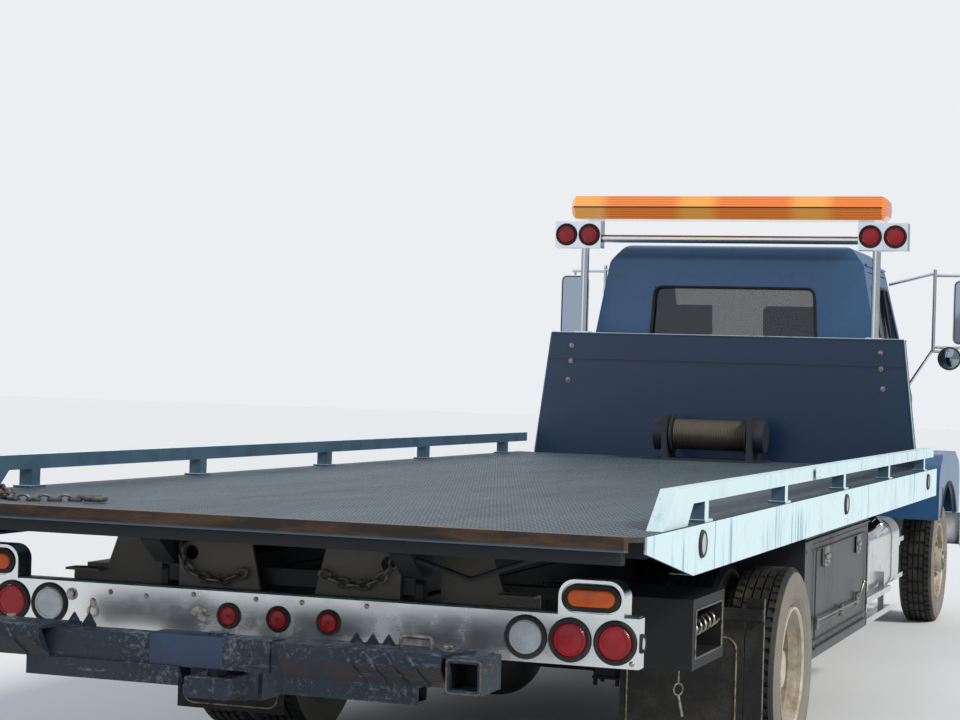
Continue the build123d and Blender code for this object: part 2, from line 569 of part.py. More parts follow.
# Tilting nose: a lofted bonnet between two fenders, open underneath
def bonnet(inset):
    """Closed form of the bonnet between its rear and front sections."""
    with BuildPart() as form:
        for x, (half, top) in ((NOSE_X[0] - (1 if inset else 0), BONNET_REAR),
                               (NOSE_X[1] - inset, BONNET_FRONT)):
            low = NOSE_LOW - (1 if inset else 0)
            shoulder = top - BONNET_CROWN - inset
            with BuildSketch(Plane.YZ.offset(x)) as section:
                with BuildLine():
                    Polyline((-half + inset, shoulder), (-half + inset, low), (half - inset, low),
                             (half - inset, shoulder))
                    ThreePointArc((-half + inset, shoulder), (0, top - inset), (half - inset, shoulder))
                make_face()
                fillet(section.vertices().sort_by(Axis.Y)[-2:], BONNET_R - inset)
        loft(ruled=True)
    return form.part


def fender(side, inset):
    """Closed form of one fender, drawn in by a wall and left open below."""
    low = NOSE_LOW - (1 if inset else 0)
    rear = NOSE_X[0] + FENDER_LAP + inset
    y_inner = side * (BONNET_FRONT[0] - 40 + inset)
    y_outer = side * (FENDER_HALF - inset)
    with BuildPart() as form:
        with BuildSketch(Plane.XZ.offset(-max(y_inner, y_outer))) as outline:
            with BuildLine():
                Polyline((rear, low), (rear, FENDER_TOP - 120 - inset),
                         (FRONT_AXLE_X - 330, FENDER_TOP - inset), (FRONT_AXLE_X + 300, FENDER_TOP - inset),
                         (NOSE_X[1] - 60 - inset, FENDER_TOP - 90 - inset), (NOSE_X[1] - 40 - inset, low),
                         close=True)
            make_face()
            fillet(outline.vertices().sort_by(Axis.Y)[-4:], FENDER_R - inset)
        extrude(amount=abs(y_outer - y_inner))
    return form.part


with BuildPart() as nose:
    add(bonnet(0))
    for side in (1, -1):
        add(fender(side, 0))
    add(bonnet(NOSE_T), mode=Mode.SUBTRACT)
    for side in (1, -1):
        add(fender(side, NOSE_T), mode=Mode.SUBTRACT)
        bar((FRONT_AXLE_X, side * 500, TYRE_R), (FRONT_AXLE_X, side * (FENDER_HALF + 10), TYRE_R), ARCH_R,
            Mode.SUBTRACT)
        block((NOSE_X[1] - 200, NOSE_X[1] + 10), [side * y for y in HEADLAMP_Y], HEADLAMP_Z, Mode.SUBTRACT)
    block((NOSE_X[1] - NOSE_T - 60, NOSE_X[1] + 10), (-GRILLE_HALF, GRILLE_HALF), GRILLE_Z, Mode.SUBTRACT)
    for side in (1, -1):
        hinge_y = (side * NOSE_HINGE_Y[0], side * NOSE_HINGE_Y[1])
        block((NOSE_HINGE_X - 60, NOSE_HINGE_X + 10), hinge_y, (NOSE_HINGE_Z - 25, NOSE_LOW + 60))
        bar((NOSE_HINGE_X, hinge_y[0] - side, NOSE_HINGE_Z), (NOSE_HINGE_X, hinge_y[1] + side, NOSE_HINGE_Z),
            NOSE_PIN_R + RUNNING_GAP, Mode.SUBTRACT)
save(nose, "nose")

with BuildPart() as grille:
    hole_half = GRILLE_HALF - GRILLE_RIM
    hole_z = (GRILLE_Z[0] + GRILLE_RIM, GRILLE_Z[1] - GRILLE_RIM)
    bar_pitch = (hole_z[1] - hole_z[0]) / (GRILLE_BARS + 0.3)
    with BuildSketch(Plane.YZ.offset(NOSE_X[1] - 50)) as surround:
        with Locations((0, sum(GRILLE_Z) / 2)):
            Rectangle(2 * GRILLE_HALF, GRILLE_Z[1] - GRILLE_Z[0])
            RectangleRounded(2 * hole_half, hole_z[1] - hole_z[0], GRILLE_RIM, mode=Mode.SUBTRACT)
    extrude(amount=45)
    for row in range(GRILLE_BARS):
        z = hole_z[0] + (row + 0.5) * bar_pitch
        block((NOSE_X[1] - 45, NOSE_X[1] - 12), (-hole_half - 2, hole_half + 2), (z, z + 16))
save(grille, "grille")

with BuildPart() as headlamps:
    for side in (1, -1):
        block((NOSE_X[1] - 130, NOSE_X[1] - 50), [side * y for y in HEADLAMP_Y], HEADLAMP_Z)
save(headlamps, "headlamps")

# Front bumper, wrapped back at its ends, on the frame
BUMPER_Z = (470.0, 690.0)
with BuildPart() as front_bumper:
    outer = ((FRONT_X, BUMPER_HALF - 250), (FRONT_X - 55, BUMPER_HALF - 20), (FRONT_X - 260, BUMPER_HALF))
    inner = ((FRONT_X - 262, BUMPER_HALF - 22), (FRONT_X - 75, BUMPER_HALF - 42), (FRONT_X - 22, BUMPER_HALF - 260))
    left = outer + inner
    along_z([*left, *((x, -y) for x, y in reversed(left))], BUMPER_Z)
    # horns that carry it on the frame, and lugs with the pins of the nose hinge
    for side in (1, -1):
        horn_y = (side * FRAME_HALF, side * (FRAME_HALF - 60))
        block((FRAME_FRONT_X, FRONT_X - 20), horn_y, (590, 640))
        lug_y = (side * (NOSE_HINGE_Y[1] + 5), horn_y[1])
        block((NOSE_HINGE_X - 30, NOSE_HINGE_X + 20), lug_y, (590, NOSE_HINGE_Z + 20))
        bar((NOSE_HINGE_X, side * NOSE_HINGE_Y[0], NOSE_HINGE_Z), (NOSE_HINGE_X, lug_y[1], NOSE_HINGE_Z), NOSE_PIN_R)
save(front_bumper, "front_bumper")

# Wheels: a deep dish rim with hand holes and a turned tyre


def tyre_solid(y):
    """Tyre revolved about the axle, its centre plane at y."""
    half = TYRE_W / 2
    with BuildPart() as form:
        with BuildSketch(Plane.XY) as section:
            with BuildLine():
                Polyline((RIM_R + 0.3, y - half + 28), (RIM_R + 60, y - half + 4), (TYRE_R - 55, y - half),
                         (TYRE_R - 16, y - half + 14), (TYRE_R, y - half + 34), (TYRE_R, y + half - 34),
                         (TYRE_R - 16, y + half - 14), (TYRE_R - 55, y + half), (RIM_R + 60, y + half - 4),
                         (RIM_R + 0.3, y + half - 28), close=True)
            make_face()
        revolve(axis=Axis.Y)
    return form.part


def rim_solid(y, side, dish):
    """Rim and disc revolved about the axle; the disc stands dish inboard of the outer lip."""
    half = TYRE_W / 2 - 24
    face = y + side * (half - dish)
    back = face - side * 14
    with BuildPart() as form:
        with BuildSketch(Plane.XY) as section:
            with BuildLine():
                Polyline((RIM_R, y - half), (RIM_R, y + half), (RIM_R - 14, y + half), (RIM_R - 16, y + half - 12),
                         (RIM_R - 34, y + side * 20 + 22), (RIM_R - 34, y + side * 20 - 22),
                         (RIM_R - 16, y - half + 12), (RIM_R - 14, y - half), close=True)
            make_face()
            with BuildLine():
                Polyline((62, back), (62, face), (140, face), (165, face + side * 22), (195, face + side * 22),
                         (RIM_R - 12, face), (RIM_R - 12, back), (195, back + side * 22), (165, back + side * 22),
                         (140, back), close=True)
            make_face()
        revolve(axis=Axis.Y)
        with BuildSketch(Plane.XZ.offset(-y - side * 115)) as holes:
            with PolarLocations(181, HAND_HOLES):
                Circle(24)
        extrude(holes.sketch, amount=side * 260, mode=Mode.SUBTRACT)
    return form.part


REAR_DISH = 150.0
FRONT_DISH = 40.0
for name, side in SIDES:
    outer_y = side * REAR_TYRE_Y
    inner_y = side * (REAR_TYRE_Y - DUAL_SPACING)
    place = Pos(REAR_AXLE_X, 0, TYRE_R)
    with BuildPart() as tyres:
        add(place * tyre_solid(outer_y))
        add(place * tyre_solid(inner_y))
    save(tyres, f"tyres_rear_{name}")
    with BuildPart() as rims:
        add(place * rim_solid(outer_y, side, REAR_DISH))
        add(place * rim_solid(inner_y, -side, REAR_DISH))
        bar((REAR_AXLE_X, side * REAR_HUB_Y, TYRE_R), (REAR_AXLE_X, side * (REAR_TYRE_Y + 60), TYRE_R), HUB_R * 0.7)
        bar((REAR_AXLE_X, outer_y - side * 75, TYRE_R), (REAR_AXLE_X, inner_y + side * 75, TYRE_R), HUB_R)
    save(rims, f"rims_rear_{name}")

for name, side in SIDES:
    place = Pos(FRONT_AXLE_X, 0, TYRE_R)
    y = side * FRONT_TYRE_Y
    with BuildPart() as tyre:
        add(place * tyre_solid(y))
    save(tyre, f"tyre_front_{name}")
    with BuildPart() as rim:
        add(place * rim_solid(y, side, FRONT_DISH))
        face = y + side * (TYRE_W / 2 - 24 - FRONT_DISH)
        bar((FRONT_AXLE_X, face - side * 60, TYRE_R), (FRONT_AXLE_X, face + side * 75, TYRE_R), HUB_R * 0.75)
    save(rim, f"rim_front_{name}")
    with BuildPart() as knuckle:
        low = TYRE_R - EYE_HALF_H
        high = TYRE_R + EYE_HALF_H
        for z in ((low - KNUCKLE_GAP - 34, low - KNUCKLE_GAP), (high + KNUCKLE_GAP, high + KNUCKLE_GAP + 34)):
            bar((FRONT_AXLE_X, side * KINGPIN_Y, z[0]), (FRONT_AXLE_X, side * KINGPIN_Y, z[1]), 44)
            bar((FRONT_AXLE_X, side * KINGPIN_Y, z[0]), (FRONT_AXLE_X, side * KINGPIN_Y, z[1]), 20.5, Mode.SUBTRACT)
            block((FRONT_AXLE_X - 44, FRONT_AXLE_X + 44), (side * (KINGPIN_Y + 30), side * (KINGPIN_Y + 84)), z)
        block((FRONT_AXLE_X - 50, FRONT_AXLE_X + 50), (side * (KINGPIN_Y + 56), side * (KINGPIN_Y + 86)),
              (low - KNUCKLE_GAP - 34, high + KNUCKLE_GAP + 34))
        spindle_end = face - side * 60.5
        bar((FRONT_AXLE_X, side * (KINGPIN_Y + 86), TYRE_R), (FRONT_AXLE_X, spindle_end, TYRE_R), 50)
        block((FRONT_AXLE_X - 210, FRONT_AXLE_X - 44), (side * (KINGPIN_Y + 40), side * (KINGPIN_Y + 70)),
              (low - KNUCKLE_GAP - 34, low - KNUCKLE_GAP - 4))
    save(knuckle, f"knuckle_{name}")

# Tilting subframe with its tail plates
SUB_Z = (FRAME_TOP + SUBFRAME_GAP, FRAME_TOP + SUBFRAME_GAP + SUBFRAME_H)
SUB_Y = (FRAME_HALF - RAIL_FLANGE, FRAME_HALF - 2)
TAIL_PLATE_X = TAIL_X + 64
TAIL_PLATE_T = 12.0
with BuildPart() as subframe:
    for side in (1, -1):
        block((PIVOT_X - 20, SUBFRAME_FRONT_X), (side * SUB_Y[0], side * SUB_Y[1]), SUB_Z)
        bar((PIVOT_X, side * (SUB_Y[0] - 1), PIVOT_Z), (PIVOT_X, side * (SUB_Y[1] + 1), PIVOT_Z),
            PIVOT_PIN_R + RUNNING_GAP, Mode.SUBTRACT)
    for x in (PIVOT_X + 30, TAIL_X + 1400, TAIL_X + 2600, SUBFRAME_FRONT_X - 80):
        block((x, x + 60), (-SUB_Y[0], SUB_Y[0]), SUB_Z)
    block((TAIL_PLATE_X + TAIL_PLATE_T, PIVOT_X + 32), (-SUB_Y[0], -130), (850, 890))
    block((TAIL_PLATE_X + TAIL_PLATE_T, PIVOT_X + 32), (130, SUB_Y[0]), (850, 890))
    # wear pads that the deck's beams slide on, then lugs for the rod eyes of the tilt cylinders
    for side in (1, -1):
        for row in range(SLIDE_PADS):
            x = PIVOT_X + 60 + row * (SUBFRAME_FRONT_X - PIVOT_X - 260) / (SLIDE_PADS - 1)
            block((x, x + 140), (side * (BEAM_Y - BEAM_W / 2), side * SUB_Y[1]), (SUB_Z[1], SUB_Z[1] + SUBFRAME_GAP))
        block((TAIL_X + 2600, TAIL_X + 2700), (side * 180, side * 200), (CYL_EYE[1] - 35, SUB_Z[0] + 5))
        block((TAIL_X + 2600, TAIL_X + 2700), (side * 252, side * 272), (CYL_EYE[1] - 35, SUB_Z[0] + 5))
save(subframe, "subframe")

# Plates across the tail of the subframe, each with an eye for a safety chain
with BuildPart() as tail_plates:
    for side in (1, -1):
        along_x([(side * 132, 977), (side * 330, 977), (side * 386, 952), (side * 386, 818), (side * 92, 808)],
                (TAIL_PLATE_X, TAIL_PLATE_X + TAIL_PLATE_T))
        bar((TAIL_PLATE_X - 1, side * 344, 930), (TAIL_PLATE_X + 20, side * 344, 930), 24, Mode.SUBTRACT)
save(tail_plates, "tail_plates")

# Stepped side plates on the arms of the lamp bar
with BuildPart() as side_plates:
    for side in (1, -1):
        along_x([(side * (FRAME_HALF + 60), 985), (side * 652, 985), (side * 696, 858), (side * 820, 854),
                 (side * 820, 760), (side * (FRAME_HALF + 60), 760)], (PIVOT_X + 50, PIVOT_X + 60))
        block((PIVOT_X - 10, PIVOT_X + 50), (side * 696, side * 820), (846, 854))
save(side_plates, "side_plates")

# Tilt cylinders: barrels pinned to the frame, rods to the subframe
CYL_ANGLE = atan2(CYL_EYE[1] - CYL_BASE[1], CYL_EYE[0] - CYL_BASE[0])
CYL_DIR = (cos(CYL_ANGLE), sin(CYL_ANGLE))
BARREL_L = 930.0


def on_cylinder(distance, y):
    """Point on a tilt cylinder's line at a distance from its base pin."""
    return (CYL_BASE[0] + CYL_DIR[0] * distance, y, CYL_BASE[1] + CYL_DIR[1] * distance)


CYL_LENGTH = hypot(CYL_EYE[0] - CYL_BASE[0], CYL_EYE[1] - CYL_BASE[1])
with BuildPart() as tilt_barrels:
    for y in (CYL_Y, -CYL_Y):
        bar(on_cylinder(34, y), on_cylinder(BARREL_L, y), 24)
        bar(on_cylinder(60, y), on_cylinder(BARREL_L, y), CYL_R)
        bar(on_cylinder(80, y), on_cylinder(BARREL_L + 1, y), CYL_ROD_R + RUNNING_GAP, Mode.SUBTRACT)
        bar((CYL_BASE[0], y - 24, CYL_BASE[1]), (CYL_BASE[0], y + 24, CYL_BASE[1]), 40)
save(tilt_barrels, "tilt_barrels")
with BuildPart() as tilt_rods:
    for y in (CYL_Y, -CYL_Y):
        bar(on_cylinder(CYL_LENGTH - 900, y), on_cylinder(CYL_LENGTH - 20, y), CYL_ROD_R)
        bar((CYL_EYE[0], y - 22, CYL_EYE[1]), (CYL_EYE[0], y + 22, CYL_EYE[1]), 30)
save(tilt_rods, "tilt_rods")

# Deck floor with its side channels; the tail is cut thin for loading
FLOOR_Z = (DECK_TOP - DECK_PLATE, DECK_TOP)
CHANNEL_LOW = DECK_TOP - CHANNEL_H
with BuildPart() as deck_floor:
    block((DECK_REAR_X, DECK_FRONT_X), (-DECK_HALF, DECK_HALF), FLOOR_Z)
    for side in (1, -1):
        edge = side * DECK_HALF
        lip = side * (DECK_HALF - CHANNEL_W)
        block((DECK_REAR_X, DECK_FRONT_X), (edge, lip), (CHANNEL_LOW, FLOOR_Z[0]))
        block((DECK_REAR_X - 1, DECK_FRONT_X - 8), (edge - side * CHANNEL_T, lip - side),
              (CHANNEL_LOW + CHANNEL_T, FLOOR_Z[0] - CHANNEL_T), Mode.SUBTRACT)
        along_y([(DECK_REAR_X - 1, CHANNEL_LOW - 1), (DECK_REAR_X - 1, DECK_TOP - TAIL_EDGE_H),
                 (DECK_REAR_X + 20, DECK_TOP - TAIL_EDGE_H), (DECK_REAR_X + TAIL_TAPER, CHANNEL_LOW),
                 (DECK_REAR_X + TAIL_TAPER, CHANNEL_LOW - 1)], (edge + side, lip - side), Mode.SUBTRACT)
    block((DECK_REAR_X, DECK_REAR_X + 10), (-DECK_HALF, DECK_HALF), (DECK_TOP - TAIL_EDGE_H, DECK_TOP))
    for side in (1, -1):
        along_z([(DECK_REAR_X - 1, side * (DECK_HALF - TAIL_CORNER)), (DECK_REAR_X + TAIL_CORNER, side * (DECK_HALF + 1)),
                 (DECK_REAR_X - 1, side * (DECK_HALF + 1))], (CHANNEL_LOW - 1, DECK_TOP + 1), Mode.SUBTRACT)
save(deck_floor, "deck_floor")

# Long beams and cross members under the floor
BEAM_Z = (SUB_Z[1] + SUBFRAME_GAP, SUB_Z[1] + SUBFRAME_GAP + BEAM_H)
BEAM_REAR_X = TAIL_X - 60
CROSS_PITCH = (DECK_LENGTH - 500) / (CROSS_COUNT - 1)
with BuildPart() as deck_beams:
    for side in (1, -1):
        along_y([(BEAM_REAR_X, BEAM_Z[1]), (BEAM_REAR_X, BEAM_Z[1] - 30), (BEAM_REAR_X + 110, BEAM_Z[0]),
                 (DECK_FRONT_X - 40, BEAM_Z[0]), (DECK_FRONT_X - 40, BEAM_Z[1])],
                (side * (BEAM_Y - BEAM_W / 2), side * (BEAM_Y + BEAM_W / 2)))
    for row in range(CROSS_COUNT):
        x = DECK_REAR_X + 300 + row * CROSS_PITCH
        block((x, x + CROSS_W), (-DECK_HALF + CHANNEL_W, DECK_HALF - CHANNEL_W), (BEAM_Z[1], FLOOR_Z[0]))
    block((DECK_REAR_X + 30, DECK_REAR_X + 80), (-DECK_HALF + CHANNEL_W, DECK_HALF - CHANNEL_W),
          (BEAM_Z[1], FLOOR_Z[0]))
    # bent brace that hangs under the tail on the right
    foot, knee, head = ((DECK_REAR_X + 325, y, z) for y, z in ((-286, BEAM_Z[1] + 8), (-649, 906), (-925, BEAM_Z[1] + 8)))
    bar(foot, knee, 9)
    bar(head, knee, 9)
save(deck_beams, "deck_beams")

RAIL_LOW = RAIL_TOP - RAIL_TUBE
with BuildPart() as side_rails:
    for side in (1, -1):
        outer = side * (DECK_HALF - RAIL_INSET)
        inner = side * (DECK_HALF - RAIL_INSET - RAIL_TUBE)
        along_y([(TAIL_X - 40, DECK_TOP), (TAIL_X + 270, DECK_TOP), (TAIL_X + 347, RAIL_LOW),
                 (DECK_FRONT_X - 40, RAIL_LOW), (DECK_FRONT_X - 40, RAIL_TOP), (TAIL_X + 119, RAIL_TOP)],
                (outer, inner))
        for post in range(POST_COUNT):
            x = POST_FIRST_X + post * POST_PITCH
            block((x - POST_W / 2, x + POST_W / 2), (outer, inner), (DECK_TOP, RAIL_LOW))
            block((x - POST_W, x + POST_W), (outer + side * 8, inner - side * 8), (DECK_TOP, DECK_TOP + 8))
save(side_rails, "side_rails")

# Headboard, folded plate with flanges, at the front of the deck
BOARD_X = (DECK_FRONT_X - 30, DECK_FRONT_X - 30 + BOARD_T)
BOARD_LAP_Z = 1406.0


def board_half(z):
    """Half width of the tapered headboard at a height."""
    return BOARD_HALF_LOW + (BOARD_HALF_TOP - BOARD_HALF_LOW) * (z - DECK_TOP) / (BOARD_TOP - DECK_TOP)


with BuildPart() as headboard:
    outline = [(-BOARD_HALF_LOW, DECK_TOP), (-BOARD_HALF_TOP, BOARD_TOP), (BOARD_HALF_TOP, BOARD_TOP),
               (BOARD_HALF_LOW, DECK_TOP)]
    along_x(outline, BOARD_X)
    block((BOARD_X[0], BOARD_X[0] + BOARD_FLANGE), (-BOARD_HALF_TOP, BOARD_HALF_TOP), (BOARD_TOP - 8, BOARD_TOP))
    for side in (1, -1):
        along_x([(side * BOARD_HALF_LOW, DECK_TOP), (side * BOARD_HALF_TOP, BOARD_TOP),
                 (side * (BOARD_HALF_TOP - 10), BOARD_TOP), (side * (BOARD_HALF_LOW - 10), DECK_TOP)],
                (BOARD_X[0], BOARD_X[0] + 80))
        block((BOARD_X[1], BOARD_X[1] + 60), (side * 500, side * 560), (DECK_TOP, BOARD_TOP - 8))
    for z in (1190, 1700):
        block((BOARD_X[1], BOARD_X[1] + 30), (-BOARD_HALF_TOP + 20, BOARD_HALF_TOP - 20), (z, z + 60))
    # pressed rib, and the lower sheet lapped over the upper one
    for z, proud in (((1664, 1684), 7), ((DECK_TOP, BOARD_LAP_Z), 4)):
        half = [board_half(level) - 12 for level in z]
        along_x([(-half[0], z[0]), (-half[1], z[1]), (half[1], z[1]), (half[0], z[0])], (BOARD_X[0] - proud, BOARD_X[0]))
save(headboard, "headboard")

# Light pylon standing on the headboard
PYLON_X = BOARD_X[0] + 60
with BuildPart() as light_pylon:
    for side in (1, -1):
        y = side * PYLON_POST_Y
        bar((PYLON_X, y, BOARD_TOP), (PYLON_X, y, LAMP_BOX_Z[0]), PYLON_POST_R)
        block((PYLON_X - 45, PYLON_X + 45), (y - 45, y + 45), (BOARD_TOP, BOARD_TOP + 10))
        block((PYLON_X - 45, PYLON_X + 45), (side * LAMP_BOX_Y[0], side * LAMP_BOX_Y[1]), LAMP_BOX_Z)
        for lamp_y in (LAMP_BOX_Y[0] + 72, LAMP_BOX_Y[1] - 72):
            bar((PYLON_X - 46, side * lamp_y, sum(LAMP_BOX_Z) / 2), (PYLON_X - 20, side * lamp_y, sum(LAMP_BOX_Z) / 2),
                LAMP_R, Mode.SUBTRACT)
        block((PYLON_X - 40, PYLON_X + 40), (side * 780, side * 860), (LAMP_BOX_Z[1], BEACON_Z[0]))
    bar((PYLON_X, -LAMP_BOX_Y[0], 2400), (PYLON_X, LAMP_BOX_Y[0], 2400), PYLON_POST_R)
save(light_pylon, "light_pylon")

with BuildPart() as pylon_lamps:
    for side in (1, -1):
        for lamp_y in (LAMP_BOX_Y[0] + 72, LAMP_BOX_Y[1] - 72):
            bar((PYLON_X - 45 - LAMP_PROUD, side * lamp_y, sum(LAMP_BOX_Z) / 2),
                (PYLON_X - 20, side * lamp_y, sum(LAMP_BOX_Z) / 2), LAMP_R)
save(pylon_lamps, "pylon_lamps")

with BuildPart() as beacon_bar:
    low, high = BEACON_Z
    depth = BEACON_DEPTH / 2
    along_y([(PYLON_X - depth + 40, low), (PYLON_X - depth, (low + high) / 2), (PYLON_X - depth + 40, high),
             (PYLON_X + depth - 40, high), (PYLON_X + depth, (low + high) / 2), (PYLON_X + depth - 40, low)],
            (-BEACON_HALF, BEACON_HALF))
    chamfer(beacon_bar.faces().filter_by(Axis.Y).edges(), 25)
save(beacon_bar, "beacon_bar")

# Round side markers let into the deck's channels
with BuildPart() as side_markers:
    for side in (1, -1):
        for x in (TAIL_X + 404, TAIL_X + 3175, DECK_FRONT_X - 410):
            bar((x, side * DECK_HALF, DECK_TOP - 62), (x, side * (DECK_HALF + 8), DECK_TOP - 62), SMALL_LAMP_R)
save(side_markers, "side_markers")

# Winch on the deck in front of the headboard
WINCH_X = BOARD_X[0] - 260
WINCH_Z = DECK_TOP + 150
with BuildPart() as winch_frame:
    block((WINCH_X - 150, WINCH_X + 150), (-330, 330), (DECK_TOP, DECK_TOP + 12))
    for side in (1, -1):
        block((WINCH_X - 120, WINCH_X + 120), (side * 235, side * 265), (DECK_TOP + 12, WINCH_Z + 110))
        bar((WINCH_X, side * 265, WINCH_Z), (WINCH_X, side * 325, WINCH_Z), 95)
    bar((WINCH_X, -236, WINCH_Z), (WINCH_X, 236, WINCH_Z), 25)
save(winch_frame, "winch_frame")
with BuildPart() as winch_drum:
    bar((WINCH_X, -225, WINCH_Z), (WINCH_X, 225, WINCH_Z), 80)
    for side in (1, -1):
        bar((WINCH_X, side * 215, WINCH_Z), (WINCH_X, side * 227, WINCH_Z), 112)
    bar((WINCH_X, -230, WINCH_Z), (WINCH_X, 230, WINCH_Z), 25 + RUNNING_GAP, Mode.SUBTRACT)
save(winch_drum, "winch_drum")

# Wheel lift: outer boom, inner boom and crossbar with its sockets
BOOM_Z = (LIFT_PIVOT_Z - BOOM_SIZE / 2, LIFT_PIVOT_Z + BOOM_SIZE / 2)
with BuildPart() as lift_boom:
    half = BOOM_SIZE / 2
    block((BOOM_REAR_X, LIFT_PIVOT_X + 60), (-half, half), BOOM_Z)
    wall = half - BOOM_T
    block((BOOM_REAR_X - 1, LIFT_PIVOT_X - 60), (-wall, wall), (LIFT_PIVOT_Z - wall, LIFT_PIVOT_Z + wall), Mode.SUBTRACT)
    bar((LIFT_PIVOT_X, -half - 1, LIFT_PIVOT_Z), (LIFT_PIVOT_X, half + 1, LIFT_PIVOT_Z), PIVOT_PIN_R + RUNNING_GAP,
        Mode.SUBTRACT)
save(lift_boom, "lift_boom")
INNER_HALF = INNER_SIZE / 2
with BuildPart() as lift_inner_boom:
    block((CROSSBAR_X + 80, LIFT_PIVOT_X - 90), (-INNER_HALF, INNER_HALF),
          (LIFT_PIVOT_Z - INNER_HALF, LIFT_PIVOT_Z + INNER_HALF))
    block((CROSSBAR_X - 80, CROSSBAR_X + 80), (-70, 70), (LIFT_PIVOT_Z - 30, LIFT_PIVOT_Z + 30))
    bar((CROSSBAR_X, 0, LIFT_PIVOT_Z + 30), (CROSSBAR_X, 0, CROSSBAR_Z + 60), 30)
save(lift_inner_boom, "lift_inner_boom")
BAR_HALF_SIZE = CROSSBAR_SIZE / 2
TOP_PLATE_T = 9.0
# y of the two head brackets along the crossbar: inner end, outer end
BRACKETS = ((-196.0, -792.0), (500.0, 792.0))
TEETH_Y = (-529.0, -479.0, -428.0, 458.0, 510.0)
with BuildPart() as lift_crossbar:
    block((CROSSBAR_X - BAR_HALF_SIZE, CROSSBAR_X + BAR_HALF_SIZE), (-CROSSBAR_HALF, CROSSBAR_HALF),
          (CROSSBAR_Z - BAR_HALF_SIZE, CROSSBAR_Z + BAR_HALF_SIZE))
    # thicker sleeve round the swivel pin
    block((CROSSBAR_X - BAR_HALF_SIZE - 6, CROSSBAR_X + BAR_HALF_SIZE + 6), (-190, 205),
          (CROSSBAR_Z - BAR_HALF_SIZE, CROSSBAR_Z + BAR_HALF_SIZE + 6))
    bar((CROSSBAR_X, 0, CROSSBAR_Z - 60), (CROSSBAR_X, 0, CROSSBAR_Z + 61), 30 + RUNNING_GAP, Mode.SUBTRACT)
    # head brackets: a top plate, and a skirt that leans back under it
    for inner, outer in BRACKETS:
        lean = 46 if outer > inner else -46
        top = (CROSSBAR_Z + BAR_HALF_SIZE, CROSSBAR_Z + BAR_HALF_SIZE + TOP_PLATE_T)
        along_z([(CROSSBAR_X - 108, inner + lean), (CROSSBAR_X + 70, inner), (CROSSBAR_X + 70, outer),
                 (CROSSBAR_X - 108, outer - lean)], top)
        along_y([(CROSSBAR_X - 108, top[0]), (CROSSBAR_X - 96, top[0]), (CROSSBAR_X - BAR_HALF_SIZE, CROSSBAR_Z - 34),
                 (CROSSBAR_X - BAR_HALF_SIZE, CROSSBAR_Z - BAR_HALF_SIZE), (CROSSBAR_X - 60, CROSSBAR_Z - BAR_HALF_SIZE),
                 (CROSSBAR_X - 108, top[0] - 30)], (inner + lean, outer - lean))
    # square sockets for the wheel forks, open to the rear
    for side in (1, -1):
        y = (side * (CROSSBAR_HALF - 108), side * CROSSBAR_HALF)
        block((CROSSBAR_X - 115, CROSSBAR_X + 60), y, (CROSSBAR_Z - 52, CROSSBAR_Z + 48))
        block((CROSSBAR_X - 116, CROSSBAR_X + 30), (y[0] + side * 12, y[1] - side * 12),
              (CROSSBAR_Z - 40, CROSSBAR_Z + 36), Mode.SUBTRACT)
    # teeth that stop the fork's lock
    for y in TEETH_Y:
        along_x([(y - 23, CROSSBAR_Z + BAR_HALF_SIZE), (y - 23, CROSSBAR_Z + 50), (y, CROSSBAR_Z + 84),
                 (y + 23, CROSSBAR_Z + 50), (y + 23, CROSSBAR_Z + BAR_HALF_SIZE)], (CROSSBAR_X + 34, CROSSBAR_X + 44))
    # lower tubes each side of the boom's head, the right one open at its end
    for y in ((100, 616), (-240, -660)):
        block((CROSSBAR_X - 58, CROSSBAR_X + 22), y, (CROSSBAR_Z - 100, CROSSBAR_Z - BAR_HALF_SIZE))
    block((CROSSBAR_X - 50, CROSSBAR_X + 14), (-560, -661), (CROSSBAR_Z - 92, CROSSBAR_Z - BAR_HALF_SIZE - 8), Mode.SUBTRACT)
save(lift_crossbar, "lift_crossbar")
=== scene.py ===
import json
from math import cos, pi, radians, sin

import bmesh
import bpy
from bpy.props import FloatProperty, FloatVectorProperty, IntProperty, PointerProperty
from mathutils import Matrix, Vector


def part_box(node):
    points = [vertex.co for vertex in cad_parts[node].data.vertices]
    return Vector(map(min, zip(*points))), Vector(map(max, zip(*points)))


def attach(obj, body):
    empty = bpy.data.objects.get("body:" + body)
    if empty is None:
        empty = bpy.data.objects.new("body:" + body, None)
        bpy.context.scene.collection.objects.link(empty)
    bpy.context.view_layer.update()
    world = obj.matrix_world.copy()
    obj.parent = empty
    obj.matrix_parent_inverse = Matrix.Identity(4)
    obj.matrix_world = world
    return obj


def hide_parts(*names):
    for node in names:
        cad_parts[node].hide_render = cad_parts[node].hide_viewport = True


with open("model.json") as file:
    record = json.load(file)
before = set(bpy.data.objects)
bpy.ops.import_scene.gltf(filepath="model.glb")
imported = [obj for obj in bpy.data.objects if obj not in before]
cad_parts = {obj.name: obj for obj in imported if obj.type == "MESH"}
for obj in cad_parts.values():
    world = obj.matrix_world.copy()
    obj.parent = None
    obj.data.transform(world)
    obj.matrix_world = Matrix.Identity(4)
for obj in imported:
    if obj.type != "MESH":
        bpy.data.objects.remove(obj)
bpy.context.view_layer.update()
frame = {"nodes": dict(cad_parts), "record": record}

bl_info = {
    "name": "Flatbed tow truck",
    "version": (1, 0, 0),
    "blender": (4, 5, 0),
    "location": "View3D > Sidebar > Tow Truck",
    "description": "Dresses the packed tow truck: paint, lamps, tyres, chains and fittings",
    "category": "Object",
}

